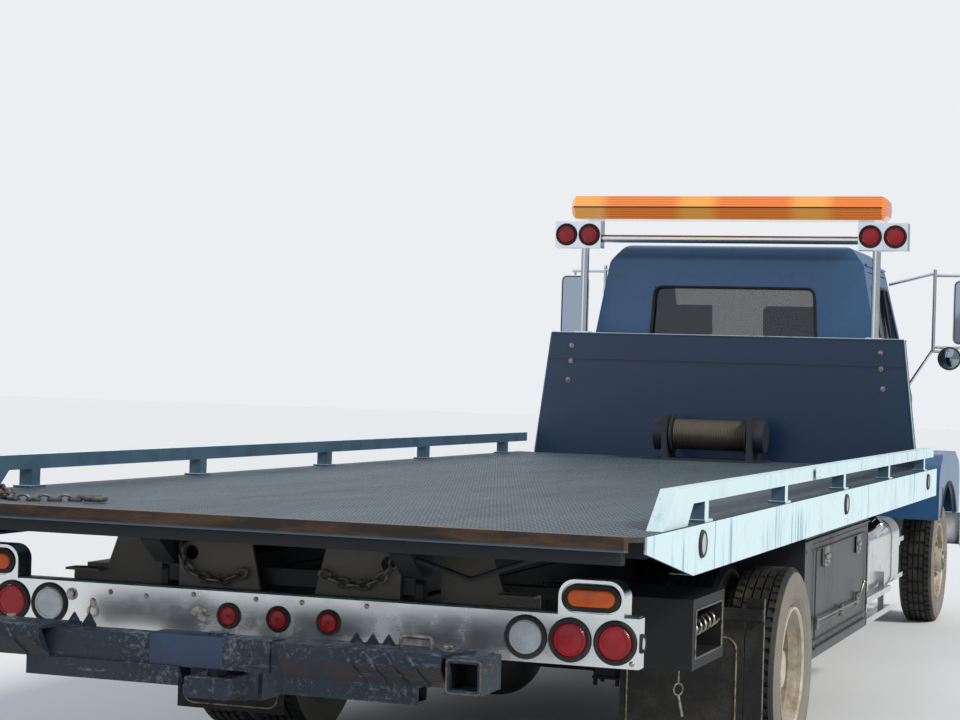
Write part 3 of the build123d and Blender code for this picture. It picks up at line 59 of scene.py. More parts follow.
SIDES = (("left", 1), ("right", -1))
BOTH = (1, -1)
REAR = (-1, 0, 0)
FRONT = (1, 0, 0)
DECK_LOW, DECK_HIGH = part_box("deck_floor")
BOARD_LOW, BOARD_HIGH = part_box("headboard")
CAB_LOW, CAB_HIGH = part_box("cab_shell")
# Height of the deck's rear face above the lower edge of its sides
TAIL_FACE = 0.108
# Rear face of the tail lamp bar, which places are counted from: the amber boxes on it stand 25 mm proud.
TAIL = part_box("light_bar")[0].x + 0.025
BAR_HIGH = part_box("light_bar")[0].z + 0.152
LAMP_Z = BAR_HIGH - 0.076
# Centre of the wheel lift's crossbar
LIFT_X, LIFT_Z = TAIL - 0.430, 0.684
# A tyre stands on the ground, so its axle is one radius up.
TYRE_R = 0.406
TYRE_WIDTH = 0.226
RIM_R = 0.250
# Half width and height of the cab's belt, and how its sides lean in above it
BELT_Y, BELT_Z = 0.925, 1.480
LEAN, RISE = 0.145, 0.790
# Direction in which the windscreen faces, and the height of its foot
SCREEN_OUT, SCREEN_FOOT = (2, 0, 1), 1.560
CAMERA_AT = (TAIL - 6.28254, -2.80903, 1.52335)
CAMERA_TURN = (18.967, 0.494, 1.745)


def middle(node):
    """Centre of a node's box."""
    low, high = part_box(node)
    return (low + high) / 2


def outer_face(node, side):
    """Place along Y of the face of a node that looks away from the truck."""
    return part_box(node)[side > 0].y


def tone(red, green, blue):
    """A colour as a paint chart gives it, 0 to 255, turned into the linear values that shaders use."""
    linear = []
    for part in (red, green, blue):
        part /= 255
        linear.append(part / 12.92 if part <= 0.04045 else ((part + 0.055) / 1.055) ** 2.4)
    return (*linear, 1.0)


def colour_choice(name, description, default):
    """A colour that the user can change, from its chart values."""
    return FloatVectorProperty(name=name, description=description, subtype="COLOR", size=4, min=0, max=1,
                               default=tone(*default))


class TowTruckColours(bpy.types.PropertyGroup):
    deck: colour_choice("Deck", "Steel-blue paint of the deck plate", (84, 116, 140))
    # pale blue that only the outward and upward faces get: partly real fading, partly painted sunlight
    deck_faded_and_sunlit: colour_choice("Faded and sunlit deck", "Sun-bleached and sunlit blue of the deck's sides", (208, 230, 236))
    headboard: colour_choice("Headboard", "Dark navy paint of the headboard", (8, 42, 72))
    lift: colour_choice("Wheel lift", "Dark blue-grey paint of the wheel lift", (30, 40, 53))
    cab: colour_choice("Cab", "Gloss blue paint of the cab and nose", (44, 92, 136))
    tail_plate: colour_choice("Tail plates", "Olive-grey paint of the plates at the tail", (88, 83, 74))
    rust: colour_choice("Rust", "Brown of worn and rusted edges", (78, 59, 44))
    dust: colour_choice("Dust", "Road dust on rubber, rims and chassis", (142, 137, 126))
    red_lens: colour_choice("Red lens", "Moulded red of the tail lamps", (168, 8, 26))
    amber_lens: colour_choice("Amber lens", "Moulded amber of the turn lamps", (232, 96, 4))


def length(name, description, default):
    """A length in metres that the user can change."""
    return FloatProperty(name=name, description=description, default=default, unit="LENGTH")


class TowTruckSizes(bpy.types.PropertyGroup):
    tread_pitch: length("Tread pitch", "Distance between the lozenges of the deck plate", 0.020)
    link_length: length("Chain link", "Inside length of one link of the safety chains", 0.034)
    link_wire: length("Chain wire", "Diameter of the wire of the safety chains", 0.011)
    rope: length("Winch rope", "Diameter of the wire rope on the winch", 0.010)
    grommet: length("Grommet", "Outer diameter of the rubber ring of a large lamp", 0.137)
    lug_nuts: IntProperty(name="Lug nuts", description="Nuts that hold each wheel", default=8)
    tread_blocks: IntProperty(name="Tread blocks", description="Blocks round each tyre", default=60)
    lens: FloatProperty(name="Lens", description="Focal length of the camera", default=80.93, unit="CAMERA")


def maths(operation, swapped=False):
    """A method of Link that adds a Math node, with the link as its first input, or as its last one."""
    def method(link, *values):
        inputs = (*values, link) if swapped else (link, *values)
        return link.finish.node("Math", {"operation": operation}, dict(enumerate(inputs)))
    return method


class Link:
    """One shader socket. Sums and products of links add Math nodes to the material they belong to."""

    __add__ = __radd__ = maths("ADD")
    __sub__ = maths("SUBTRACT")
    __rsub__ = maths("SUBTRACT", swapped=True)
    __mul__ = maths("MULTIPLY")
    __truediv__ = maths("DIVIDE")
    __pow__ = maths("POWER")
    __mod__ = maths("FLOORED_MODULO")
    __abs__ = maths("ABSOLUTE")
    floor = maths("FLOOR")
    root = maths("SQRT")
    sign = maths("SIGN")
    sine = maths("SINE")
    at_least = maths("MAXIMUM")

    def __init__(self, finish, socket):
        self.finish = finish
        self.socket = socket

    def other(self, output):
        """Another output of the same node."""
        return Link(self.finish, self.socket.node.outputs[output])

    def between(self, low, high):
        """0 below low, 1 above high, smooth in between."""
        return self.finish.node("MapRange", {"interpolation_type": "SMOOTHSTEP"},
                                {"Value": self, "From Min": low, "From Max": high})


class Finish:
    """A material in the making, on Object coordinates."""

    def __init__(self, name, colour, roughness=0.5, metallic=0.0, **fixed):
        self.material = bpy.data.materials.new(name)
        self.material.use_nodes = True
        self.material.diffuse_color = tuple(colour)
        self.tree = self.material.node_tree
        self.shader = self.tree.nodes["Principled BSDF"]
        self.put("Base Color", colour)
        self.put("Roughness", roughness)
        self.put("Metallic", metallic)
        for socket, value in fixed.items():
            self.put(socket.replace("_", " ").title().replace("Ior", "IOR"), value)
        self.place = self.node("TexCoord", out="Object")
        self.x = self.node("SeparateXYZ", sockets={0: self.place})
        self.y = self.x.other(1)
        self.z = self.x.other(2)

    def node(self, kind, settings=None, sockets=None, out=0):
        """Add a shader node with its settings and with links or values in its sockets, and give one output."""
        made = self.tree.nodes.new("ShaderNode" + kind)
        for name, value in (settings or {}).items():
            setattr(made, name, value)
        for name, value in (sockets or {}).items():
            if isinstance(value, Link):
                self.tree.links.new(value.socket, made.inputs[name])
            else:
                made.inputs[name].default_value = value
        return Link(self, made.outputs[out])

    def put(self, socket, value):
        """Link or set a socket of the Principled shader."""
        if isinstance(value, Link):
            self.tree.links.new(value.socket, self.shader.inputs[socket])
        else:
            self.shader.inputs[socket].default_value = value

    def noise(self, scale, detail=4.0, roughness=0.55, stretch=None):
        where = self.node("Mapping", sockets={"Vector": self.place, "Scale": stretch}) if stretch else self.place
        return self.node("TexNoise", sockets={"Vector": where, "Scale": scale, "Detail": detail,
                                              "Roughness": roughness})

    def cells(self, scale):
        return self.node("TexVoronoi", sockets={"Vector": self.place, "Scale": scale})

    def mix(self, share, first, second):
        return self.node("Mix", {"data_type": "RGBA"}, {0: share, 6: first, 7: second}, out=2)

    def facing(self, axis):
        """How far the surface faces along an axis: 0, 1 or 2 for X, Y or Z."""
        return self.node("SeparateXYZ", sockets={0: self.node("NewGeometry", out="Normal")}, out=axis)

    def bump(self, height, distance, strength=1.0):
        self.put("Normal", self.node("Bump", sockets={"Height": height, "Distance": distance, "Strength": strength}))


def shade(colour, factor):
    """The same colour, lighter or darker."""
    return (*(min(1.0, part * factor) for part in colour[:3]), 1.0)


def worn_paint(name, colour, faded, rust, fade=0.5, wear=0.3, gloss=0.45, coat=0.0):
    """Weathered paint: faded in clouds and rain streaks, chipped to rust in small spots."""
    made = Finish(name, colour, gloss, coat_weight=coat, coat_roughness=0.22)
    clouds = made.noise(1.6, 5, 0.6)
    streaks = made.noise(7, 5, 0.65, (1.6, 1.6, 0.16))
    fine = made.noise(85, 4, 0.7)
    faded_share = (clouds * 0.55 + streaks * 0.45 + (fine - 0.5) * 0.12).between(0.62 - fade * 0.34, 0.78 - fade * 0.3)
    paint = made.mix(faded_share * (0.35 + fade * 0.6), colour, faded)
    paint = made.mix(made.noise(24, 6, 0.7).between(0.52, 0.7) * 0.3, paint, shade(colour, 0.55))
    chips = (made.noise(34, 7, 0.78) + (clouds - 0.5) * 0.5).between(0.70 - wear * 0.22, 0.72 - wear * 0.18)
    paint = made.mix(chips * (0.5 + wear * 0.5), paint, rust)
    made.put("Base Color", paint)
    made.put("Roughness", faded_share * 0.22 + chips * 0.25 + (fine - 0.5) * 0.1 + gloss)
    made.bump(fine * 0.3 + made.noise(9, 3) * 0.7 - chips * 0.5, 0.0006, 0.6)
    return made


def bleached_and_sunlit(made, colour, faded, rust):
    """Paint bleached and lit nearly white where it faces outward or up, with blue streaks, and deep blue painted shade
    elsewhere; the pale faces are partly real fading and partly painted sunlight.
    """
    # painted sunlight and shade by facing: outward and upward faces pale, all others deep blue
    lit = (made.facing(1) * made.y.sign()).at_least(made.facing(2)).between(0.3, 0.6)
    streaks = made.noise(16, 4, 0.7, (1.6, 1.6, 0.06)).between(0.52, 0.66) * made.noise(2.2, 3).between(0.42, 0.58)
    pale = made.mix(streaks * 0.9, faded, shade(colour, 1.8))
    pale = made.mix(made.noise(5, 5, 0.7).between(0.5, 0.75) * 0.35, pale, shade(faded, 0.72))
    # deep blue painted shade on the faces that look inward or down
    painted_shade_blue = made.mix(made.noise(6, 4).between(0.4, 0.7) * 0.6, shade(colour, 0.62), shade(colour, 0.32))
    chips = made.noise(30, 7, 0.8).between(0.655, 0.675)
    return made.mix(chips * 0.6, made.mix(lit, painted_shade_blue, pale), rust)


def bleached_and_sunlit_paint(name, colour, faded, rust):
    """Paint of the deck's sides, rails and edges, with painted sunlight on faces that look outward or up and painted
    shade on the others.
    """
    made = Finish(name, faded, 0.5, specular_ior_level=0.3)
    made.put("Base Color", bleached_and_sunlit(made, colour, faded, rust))
    made.put("Roughness", made.noise(9, 4) * 0.2 + 0.4)
    made.bump(made.noise(7, 3), 0.0006, 0.6)
    return made


def scuffed_paint(name, colour, scuff, rust):
    """Dark paint rubbed along the edges and tops, with pale scratches and brown lower faces."""
    made = Finish(name, colour, 0.45, specular_ior_level=0.35)
    up = made.facing(2)
    patches = made.noise(4.5, 6, 0.72)
    fine = made.noise(60, 5, 0.75, (0.5, 1.0, 1.0))
    paint = made.mix(patches.between(0.4, 0.62) * 0.55, colour, shade(colour, 0.45))
    rubbed = (patches * 0.4 + fine * 0.6 + up * 0.06).between(0.52, 0.66)
    paint = made.mix(rubbed * 0.5, paint, scuff)
    scratches = made.noise(26, 6, 0.8, (1.0, 0.25, 1.6)).between(0.60, 0.64)
    paint = made.mix(scratches * (up.between(-0.1, 0.9) * 0.5 + 0.25), paint, shade(scuff, 1.35))
    low = (up * -0.32 + made.noise(13, 7, 0.78, (1.0, 0.4, 1.0)) - 0.02).between(0.56, 0.78)
    paint = made.mix(low * 0.45, paint, rust)
    made.put("Base Color", paint)
    made.put("Roughness", rubbed * -0.12 + low * 0.25 + 0.5)
    made.bump(fine * 0.4 + patches * 0.6 - scratches * 0.5, 0.0008, 0.7)
    return made


def tread_plate(name, colour, faded, rust, pitch):
    """Deck plate: lozenges that alternate in direction, worn bright and with a painted highlight on top, dirty and in
    painted shade between.
    """
    made = Finish(name, colour, 0.4, specular_ior_level=0.18)
    u = made.x / pitch
    v = made.y / pitch
    turn = ((u.floor() + v.floor()) % 2) * 2 - 1
    du = u % 1 - 0.5
    dv = v % 1 - 0.5
    along = (du + dv * turn) * 0.7071
    across = (dv - du * turn) * 0.7071
    level = made.facing(2).between(0.6, 0.9)
    lozenge = (1 - ((along / 0.5) ** 2 + (across / 0.2) ** 2)).between(0.0, 0.6) * level
    clouds = made.noise(1.1, 5, 0.6, (0.5, 1.2, 1.0))
    smears = made.noise(3.2, 7, 0.72, (0.22, 1.5, 1.0))
    paint = made.mix(clouds.between(0.4, 0.62) * 0.6, shade(colour, 0.62), tone(100, 122, 136))
    paint = made.mix(smears.between(0.5, 0.66) * 0.7, paint, tone(58, 65, 66))
    paint = made.mix(made.noise(9, 7, 0.78, (0.5, 1.4, 1.0)).between(0.56, 0.64) * 0.4, paint, tone(150, 160, 162))
    # painted shade in the gaps between the lozenges, partly dirt
    paint = made.mix((1 - lozenge) * level * 0.7, paint, tone(26, 33, 37))
    # painted highlight on the lozenge tops, partly wear
    paint = made.mix(lozenge * 0.55, paint, tone(156, 178, 190))
    # scraped and rusted along the tail, worst on its rear face
    from_tail = (made.x - DECK_LOW.x).between(0.16, 0.0)
    scrape = (made.noise(16, 6, 0.75, (1.0, 0.4, 1.0)) * 0.9 + from_tail * 0.5).between(0.72, 0.9) * from_tail
    rear = made.facing(0).between(-0.5, -0.8)
    lowest = (made.z - DECK_LOW.z - TAIL_FACE).between(0.012, 0.002)
    face = made.mix(made.noise(7, 6, 0.75, (1.0, 0.35, 2.0)).between(0.36, 0.56), rust, tone(46, 41, 37))
    face = made.mix(lowest, face, tone(72, 96, 112))
    paint = made.mix(scrape * 0.75, paint, tone(108, 96, 82))
    # the outer sides take the painted sunlight and shade of the bleached paint
    outer = (abs(made.y) - DECK_HIGH.y + 0.006).between(0.0, 0.002)
    paint = made.mix(outer * (1 - level), paint, bleached_and_sunlit(made, colour, faded, rust))
    made.put("Base Color", made.mix(rear * from_tail, paint, face))
    made.put("Roughness", smears * 0.2 + (1 - lozenge) * 0.2 + 0.36)
    made.bump(lozenge + made.noise(60, 3) * 0.12, 0.0022, 1.0)
    return made


def metal(name, colour, roughness, dirt=0.15, brushed=None, dents=0.0004):
    """Bright metal with a soft film of dirt and, where given, brushing along one axis."""
    made = Finish(name, colour, roughness, 1.0)
    film = made.noise(5, 5, 0.65).between(0.45, 0.75)
    made.put("Base Color", made.mix(film * dirt, colour, shade(colour, 0.55)))
    height = made.noise(3.5, 2) * 0.8
    rough = film * 0.16 + roughness
    if brushed:
        lines = made.noise(60, 4, 0.7, brushed)
        rough = rough + (lines - 0.5) * 0.14
        height = height + lines * 0.03
    made.put("Roughness", rough)
    made.bump(height, dents, 0.8)
    return made


def from_axle(made):
    """Distance from the axle of the nearer pair of wheels."""
    rear, front = middle("tyres_rear_left").x, middle("tyre_front_left").x
    axle = made.x.between(-0.01, 0.01) * (front - rear) + rear
    return ((made.x - axle) ** 2 + (made.z - TYRE_R) ** 2).root()


def mottled(name, first, second, roughness, metallic=0.0, noise=(30, 5, 0.7), low=0.4, high=0.7):
    """Plain stuff in two tones that change over in soft patches."""
    made = Finish(name, first, roughness, metallic)
    made.put("Base Color", made.mix(made.noise(*noise).between(low, high), first, second))
    return made


def rubber(name, colour, dust, amount, wheel=False):
    """Dull rubber, dustier on some patches, and palest on the walls of a tyre, from dust and painted sunlight."""
    made = Finish(name, colour, 0.82)
    patches = (made.noise(6, 5, 0.65) * 0.7 + made.noise(60, 4, 0.7) * 0.3).between(0.42, 0.72)
    share = patches * amount
    if wheel:
        radius = from_axle(made)
        # pale sidewalls: partly dust, partly painted sunlight
        wall_dust_and_sunlight = (TYRE_R - 0.017 - radius).between(0.0, 0.006)
        rings = (radius * 420).sine() * 0.5 + 0.5
        share = share * 0.7 + wall_dust_and_sunlight * (rings * 0.1 + 0.66)
    made.put("Base Color", made.mix(share, colour, dust))
    made.put("Roughness", 0.74 + patches * 0.16)
    made.bump(made.noise(240, 3), 0.0004, 0.5)
    return made


def lens(name, colour, columns):
    """Moulded lamp lens with a grid of prisms behind a glossy face."""
    made = Finish(name, colour, 0.24, coat_weight=0.2, coat_roughness=0.05, specular_ior_level=0.35)
    grid = (made.y * columns).sine() * 0.5 + (made.z * columns).sine() * 0.5
    blots = made.noise(22, 3).between(0.35, 0.7)
    made.put("Base Color", made.mix(grid.between(-0.6, 1.0) * 0.4 + blots * 0.4, shade(colour, 0.5), colour))
    made.put("Emission Color", colour)
    made.put("Emission Strength", 0.06)
    made.bump(made.noise(40, 2) * 0.1 + grid * 0.5, 0.0012, 0.5)
    return made


def make_finishes(colours, sizes):
    """Every finish of the truck by the name of its slot in the record."""
    rust, dust = colours.rust, colours.dust
    deck, faded, head, cab, tail = colours.deck, colours.deck_faded_and_sunlit, colours.headboard, colours.cab, colours.tail_plate
    made = {
        "deck_plate": tread_plate("Deck tread plate", deck, faded, rust, sizes.tread_pitch),
        # deck sides and rails: painted sunlight on outward and upward faces, painted shade on the others
        "deck_side": bleached_and_sunlit_paint("Bleached deck paint with painted sunlight and shade", deck, faded, rust),
        # the near-black paint under the deck is painted shade
        "deck_under": worn_paint("Dark paint under the deck as painted shade", tone(20, 24, 28), tone(36, 42, 46), rust, 0.1, 0.2, 0.7),
        "lift_paint": scuffed_paint("Wheel lift paint", colours.lift, tone(120, 134, 146), rust),
        "head_paint": worn_paint("Headboard paint", head, shade(head, 2.0), rust, 0.1, 0.03, 0.38, coat=0.2),
        "cab_paint": worn_paint("Cab paint", cab, shade(cab, 1.4), rust, 0.15, 0.0, 0.36, coat=0.3),
        "plate_grey": worn_paint("Tail plate paint", tail, shade(tail, 1.3), rust, 0.4, 0.35, 0.6),
        "chassis_black": worn_paint("Chassis paint", tone(19, 20, 22), dust, rust, 0.08, 0.15, 0.6),
        "box_grey": worn_paint("Toolbox paint", tone(48, 50, 53), tone(78, 80, 81), rust, 0.25, 0.08, 0.42),
        "winch_metal": worn_paint("Winch housing", tone(42, 45, 49), dust, rust, 0.2, 0.3, 0.5),
        "cast_mass": worn_paint("Engine casting", tone(62, 62, 62), dust, rust, 0.3, 0.4, 0.6),
        "cylinder_steel": worn_paint("Cylinder paint", tone(34, 36, 40), dust, rust, 0.15, 0.2, 0.4),
        "stainless": metal("Polished stainless", tone(220, 222, 222), 0.2, 0.1, (0.6, 0.15, 14.0), 0.0008),
        "chrome_bright": metal("Bright chrome", tone(216, 219, 222), 0.15, 0.1),
        "tank_metal": metal("Polished aluminium", tone(200, 202, 204), 0.18, 0.2, (0.4, 8.0, 8.0)),
        "rod_chrome": metal("Hard chrome", tone(214, 215, 216), 0.08, 0.1),
        "tyre_rubber": rubber("Tyre rubber", tone(30, 30, 30), dust, 0.3, wheel=True),
        "flap_rubber": rubber("Flap rubber", tone(22, 22, 23), dust, 0.16),
        "lens_red": lens("Red lens", colours.red_lens, 1100.0),
        "lens_clear": lens("Clear lens", tone(196, 204, 208), 1000.0),
        "lens_amber": lens("Amber lens", colours.amber_lens, 900.0),
    }
    rim = Finish("Rim paint", tone(186, 178, 160), 0.5)
    grime = (rim.noise(7, 6, 0.7) * 0.75 + rim.noise(45, 5, 0.7) * 0.25).between(0.38, 0.66)
    paint = rim.mix(grime * 0.75, tone(196, 190, 176), tone(128, 106, 76))
    spots = rim.noise(70, 5, 0.8).between(0.66, 0.7)
    radius = from_axle(rim)
    barrel = (RIM_R - 0.014 - radius).between(0.0, 0.006) * (radius - RIM_R + 0.045).between(0.0, 0.006)
    paint = rim.mix(barrel * (grime * 0.3 + 0.4), paint, tone(110, 92, 66))
    rim.put("Base Color", rim.mix(spots * 0.7, paint, rust))
    rim.put("Roughness", 0.42 + grime * 0.25)
    rim.bump(grime, 0.0006, 0.5)
    made["rim_steel"] = rim
    trim = mottled("Grained trim", tone(36, 36, 39), tone(56, 55, 54), 0.7, noise=(5, 4))
    trim.bump(trim.cells(420), 0.0004, 0.6)
    made["trim_dark"] = trim
    glass = Finish("Tinted glass", tone(34, 44, 46), 0.03, alpha=0.42, coat_weight=1.0)
    glass.put("Roughness", glass.noise(4, 4).between(0.5, 0.9) * 0.08 + 0.03)
    made["glass_clear"] = glass
    return {slot: finish.material for slot, finish in made.items()}


def extra_finishes(colours):
    """Finishes of pieces that the record has no slot for."""
    mirror = Finish("Mirror glass", tone(150, 160, 168), 0.03, 1.0)
    mirror.put("Roughness", mirror.noise(6, 4).between(0.5, 0.9) * 0.1 + 0.03)
    rope = Finish("Wire rope", tone(112, 108, 100), 0.5, 0.8)
    strands = (rope.y * 900 + rope.z * 500 + rope.x * 500).sine() * 0.5 + 0.5
    rope.put("Base Color", rope.mix(strands * 0.5 + rope.noise(20, 4) * 0.3, tone(130, 124, 112), tone(52, 44, 36)))
    rope.bump(strands, 0.0015, 0.8)
    chain_steel = mottled("Chain steel", tone(104, 102, 98), tone(58, 48, 40), 0.5, 0.7, (60, 5, 0.7), 0.45)
    chain_steel.bump(chain_steel.noise(200, 3), 0.0004, 0.6)
    seal = mottled("Seal rubber", tone(18, 18, 19), tone(40, 40, 40), 0.55, noise=(12, 4))
    seal.put("Roughness", seal.noise(30, 3) * 0.3 + 0.4)
    beacon = Finish("Amber beacon", tone(246, 160, 40), 0.14, coat_weight=1.0)
    ribs = (beacon.z * 420).sine() * 0.5 + 0.5
    lamps = (beacon.y * 9.2).sine().between(0.1, 0.9)
    glowing = beacon.mix(lamps * 0.55, colours.amber_lens, tone(252, 196, 92))
    beacon.put("Base Color", beacon.mix(ribs * 0.3, glowing, tone(255, 214, 130)))
    beacon.bump(ribs, 0.0012, 0.4)
    beacon.put("Emission Color", tone(246, 160, 40))
    beacon.put("Emission Strength", 0.12)
    made = {
        "mirror": mirror, "rope": rope, "chain": chain_steel, "seal": seal, "beacon": beacon,
        "bolt": mottled("Zinc bolts", tone(160, 160, 154), tone(98, 88, 74), 0.38, 0.9, (50, 4)),
        "flap_line": mottled("Flap border", tone(156, 140, 104), tone(70, 62, 50), 0.6, high=0.65),
        "capping": mottled("Bar capping", tone(16, 44, 52), tone(48, 74, 78), 0.35, 0.0, (20, 5), 0.45, 0.65),
        "sleeve": worn_paint("Sleeve paint", tone(29, 47, 74), tone(46, 64, 90), colours.rust, 0.3, 0.2, 0.45),
    }
    return {name: finish.material for name, finish in made.items()}


FINISH = {}


def block(bm, low, high, bevel=0.0, segments=2):
    """Box between two opposite corners, given in any order, with rounded edges."""
    verts = bmesh.ops.create_cube(bm, size=1)["verts"]
    bmesh.ops.scale(bm, vec=[abs(b - a) for a, b in zip(low, high)], verts=verts)
    bmesh.ops.translate(bm, vec=[(a + b) / 2 for a, b in zip(low, high)], verts=verts)
    if bevel:
        bevelled(bm, {edge for vert in verts for edge in vert.link_edges}, bevel, segments)


def slab(bm, centre, half, bevel=0.0):
    """Box that reaches a half size each way from its centre."""
    block(bm, Vector(centre) - Vector(half), Vector(centre) + Vector(half), bevel)


def bevelled(bm, edges, offset, segments=2):
    """Round off some edges."""
    bmesh.ops.bevel(bm, geom=list(edges), offset=offset, affect="EDGES", segments=segments, profile=0.5, material=-1)


def rod(bm, start, end, radius, segments=20, far_radius=None, bevel=0.0):
    """Round bar between two points, with a second radius for a taper."""
    start, end = Vector(start), Vector(end)
    line = end - start
    place = Matrix.Translation((start + end) / 2) @ line.to_track_quat("Z", "Y").to_matrix().to_4x4()
    verts = bmesh.ops.create_cone(bm, cap_ends=True, cap_tris=False, segments=segments, radius1=radius,
                                  radius2=radius if far_radius is None else far_radius, depth=line.length,
                                  matrix=place)["verts"]
    if bevel:
        bevelled(bm, {edge for vert in verts for edge in vert.link_edges
                      if any(len(face.verts) == segments for face in edge.link_faces)}, bevel)


def turned(bm, profile, centre, axis, steps=48):
    """Profile of (radius, distance along the axis) points, spun a full turn; it closes unless it starts on the axis."""
    centre, axis = Vector(centre), Vector(axis).normalized()
    out = axis.orthogonal().normalized()
    verts = [bm.verts.new(centre + out * radius + axis * along) for radius, along in profile]
    closing = verts[:1] if profile[0][0] else []
    edges = [bm.edges.new(pair) for pair in zip(verts, verts[1:] + closing)]
    bmesh.ops.spin(bm, geom=verts + edges, cent=centre, axis=axis, angle=2 * pi, steps=steps, use_merge=True,
                   use_duplicate=False)
    bmesh.ops.remove_doubles(bm, verts=bm.verts, dist=1e-6)


def stud(bm, centre, axis, radius, height=0.004, steps=12):
    """Domed head of a rivet or a screw."""
    turned(bm, [(0, height), (radius - 0.002, height - 0.0005), (radius, 0), (0, 0)], centre, axis, steps)


def bezel(bm, centre, inner, outer, height, crest):
    """Bright ring round a lamp that faces the front."""
    turned(bm, [(inner, 0), (outer, 0), (outer, height), ((inner + outer) / 2, crest), (inner, height)], centre,
           FRONT, 40)


def grommet(bm, centre, outer, inner=0.053, axis=REAR):
    """Rubber ring that holds a round lamp."""
    turned(bm, [(inner, -0.002), (inner, 0.006), (inner + 0.003, 0.0085), ((inner + outer) / 2, 0.0095),
                (outer - 0.003, 0.0075), (outer, 0.003), (outer, -0.002)], centre, axis)


def lamp_glass(bm, centre, radius=0.0525):
    """Lens of a round lamp that faces the rear, with a groove inside its edge."""
    turned(bm, [(0, 0.0105), (radius * 0.62, 0.0095), (radius * 0.80, 0.008), (radius * 0.82, 0.0105),
                (radius * 0.90, 0.0105), (radius * 0.99, 0.006), (radius, -0.002), (0, -0.002)], centre, REAR)


def plate(bm, points, push, bevel=0.0):
    """Flat outline of points pushed along a vector."""
    verts = [bm.verts.new(point) for point in points]
    made = bmesh.ops.extrude_face_region(bm, geom=[bm.faces.new(verts)])["geom"]
    moved = [item for item in made if isinstance(item, bmesh.types.BMVert)]
    bmesh.ops.translate(bm, vec=push, verts=moved)
    if bevel:
        bevelled(bm, {edge for vert in verts + moved for edge in vert.link_edges}, bevel)


def hexagon(bm, centre, axis, size, height, washer=0.0):
    """Bolt head or nut, with a washer where a thickness is given."""
    centre, axis = Vector(centre), Vector(axis).normalized()
    if washer:
        rod(bm, centre, centre + axis * washer, size * 0.95, 16)
        centre = centre + axis * washer
    rod(bm, centre, centre + axis * height, size * 0.58, 6, bevel=size * 0.06)


def finished(name, bm, material, body, replaces=(), sharp=35.0):
    """Turn a bmesh into a piece of the truck that rides on a body, with the finish of the given name."""
    bmesh.ops.recalc_face_normals(bm, faces=bm.faces)
    for face in bm.faces:
        face.smooth = True
    for edge in bm.edges:
        edge.smooth = edge.is_manifold and edge.calc_face_angle(0) < radians(sharp)
    mesh = bpy.data.meshes.new(name)
    bm.to_mesh(mesh)
    bm.free()
    mesh.materials.append(FINISH[material])
    made = bpy.data.objects.new(name, mesh)
    bpy.context.scene.collection.objects.link(made)
    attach(made, body)
    if replaces:
        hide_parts(*replaces)


def route(points):
    """Points along the smooth line that some control points guide, read from a NURBS curve."""
    curve = bpy.data.curves.new("route", "CURVE")
    curve.dimensions = "3D"
    curve.resolution_u = 24
    spline = curve.splines.new("NURBS")
    spline.points.add(len(points) - 1)
    for point, place in zip(spline.points, points):
        point.co = (*place, 1)
    spline.order_u = 3
    spline.use_endpoint_u = True
    holder = bpy.data.objects.new("route", curve)
    mesh = bpy.data.meshes.new_from_object(holder)
    line = [vert.co.copy() for vert in mesh.vertices]
    bpy.data.objects.remove(holder)
    bpy.data.curves.remove(curve)
    bpy.data.meshes.remove(mesh)
    return line


def stations(line, step):
    """Places and directions at equal steps along a line of points."""
    found, travelled, due = [], 0.0, 0.0
    for start, end in zip(line, line[1:]):
        run = (end - start).length
        while run and due <= travelled + run:
            found.append((start.lerp(end, (due - travelled) / run), (end - start).normalized()))
            due += step
        travelled += run
    return found


def headings(line, closed=False):
    """Each point of a line, with the direction in which the line passes it."""
    first, last = (line[-1:], line[:1]) if closed else (line[:1], line[-1:])
    for before, here, after in zip(first + line[:-1], line, line[1:] + last):
        yield here, (after - before).normalized()


def strung(bm, stops, radius, segments=10, closed=False):
    """Round bar through circles, each given as its place and the directions out, up and along."""
    loops = []
    for place, *turn in stops:
        ends = not closed and len(loops) in (0, len(stops) - 1)
        made = bmesh.ops.create_circle(bm, cap_ends=ends, segments=segments, radius=radius)["verts"]
        bmesh.ops.transform(bm, matrix=Matrix.Translation(place) @ Matrix(turn).transposed().to_4x4(), verts=made)
        loops.append(list({edge for vert in made for edge in vert.link_edges}))
    for first, second in zip(loops, loops[1:] + loops[:1] if closed else loops[1:]):
        bmesh.ops.bridge_loops(bm, edges=first + second)


def tube(bm, ring, radius, normal):
    """Closed ring of wire through points in one plane, whose normal's length stretches the wire's section."""
    strung(bm, [(here, along.cross(normal).normalized(), normal, along) for here, along in headings(ring, True)],
           radius, 6, True)


def swept(bm, points, radius, segments=10):
    """Round bar along a smooth route, with closed ends."""
    line = route(points)
    stops = []
    for here, along in headings([place for place, _ in stations(line, max(radius * 1.5, 0.008))] + [line[-1]]):
        out = along.cross((0, 0, 1) if abs(along.z) < 0.95 else FRONT).normalized()
        stops.append((here, out, along.cross(out), along))
    strung(bm, stops, radius, segments)


def chain(bm, points, sizes):
    """Links along a route, each turned a quarter from the last."""
    pitch, wire = sizes.link_length, sizes.link_wire
    for count, (place, along) in enumerate(stations(route(points), pitch)):
        side = along.cross((0, 0, 1))
        side = side.normalized() if side.length > 0.05 else Vector((0, 1, 0))
        across = side if count % 2 else side.cross(along).normalized()
        ring = []
        for step in range(14):
            angle = 2 * pi * step / 14
            reach = pitch * 0.5 + wire * 0.35 if abs(cos(angle)) > 0.3 else pitch * 0.4
            ring.append(place + along * (cos(angle) * reach) + across * (sin(angle) * wire * 1.3125))
        tube(bm, ring, wire / 2, along.cross(across))


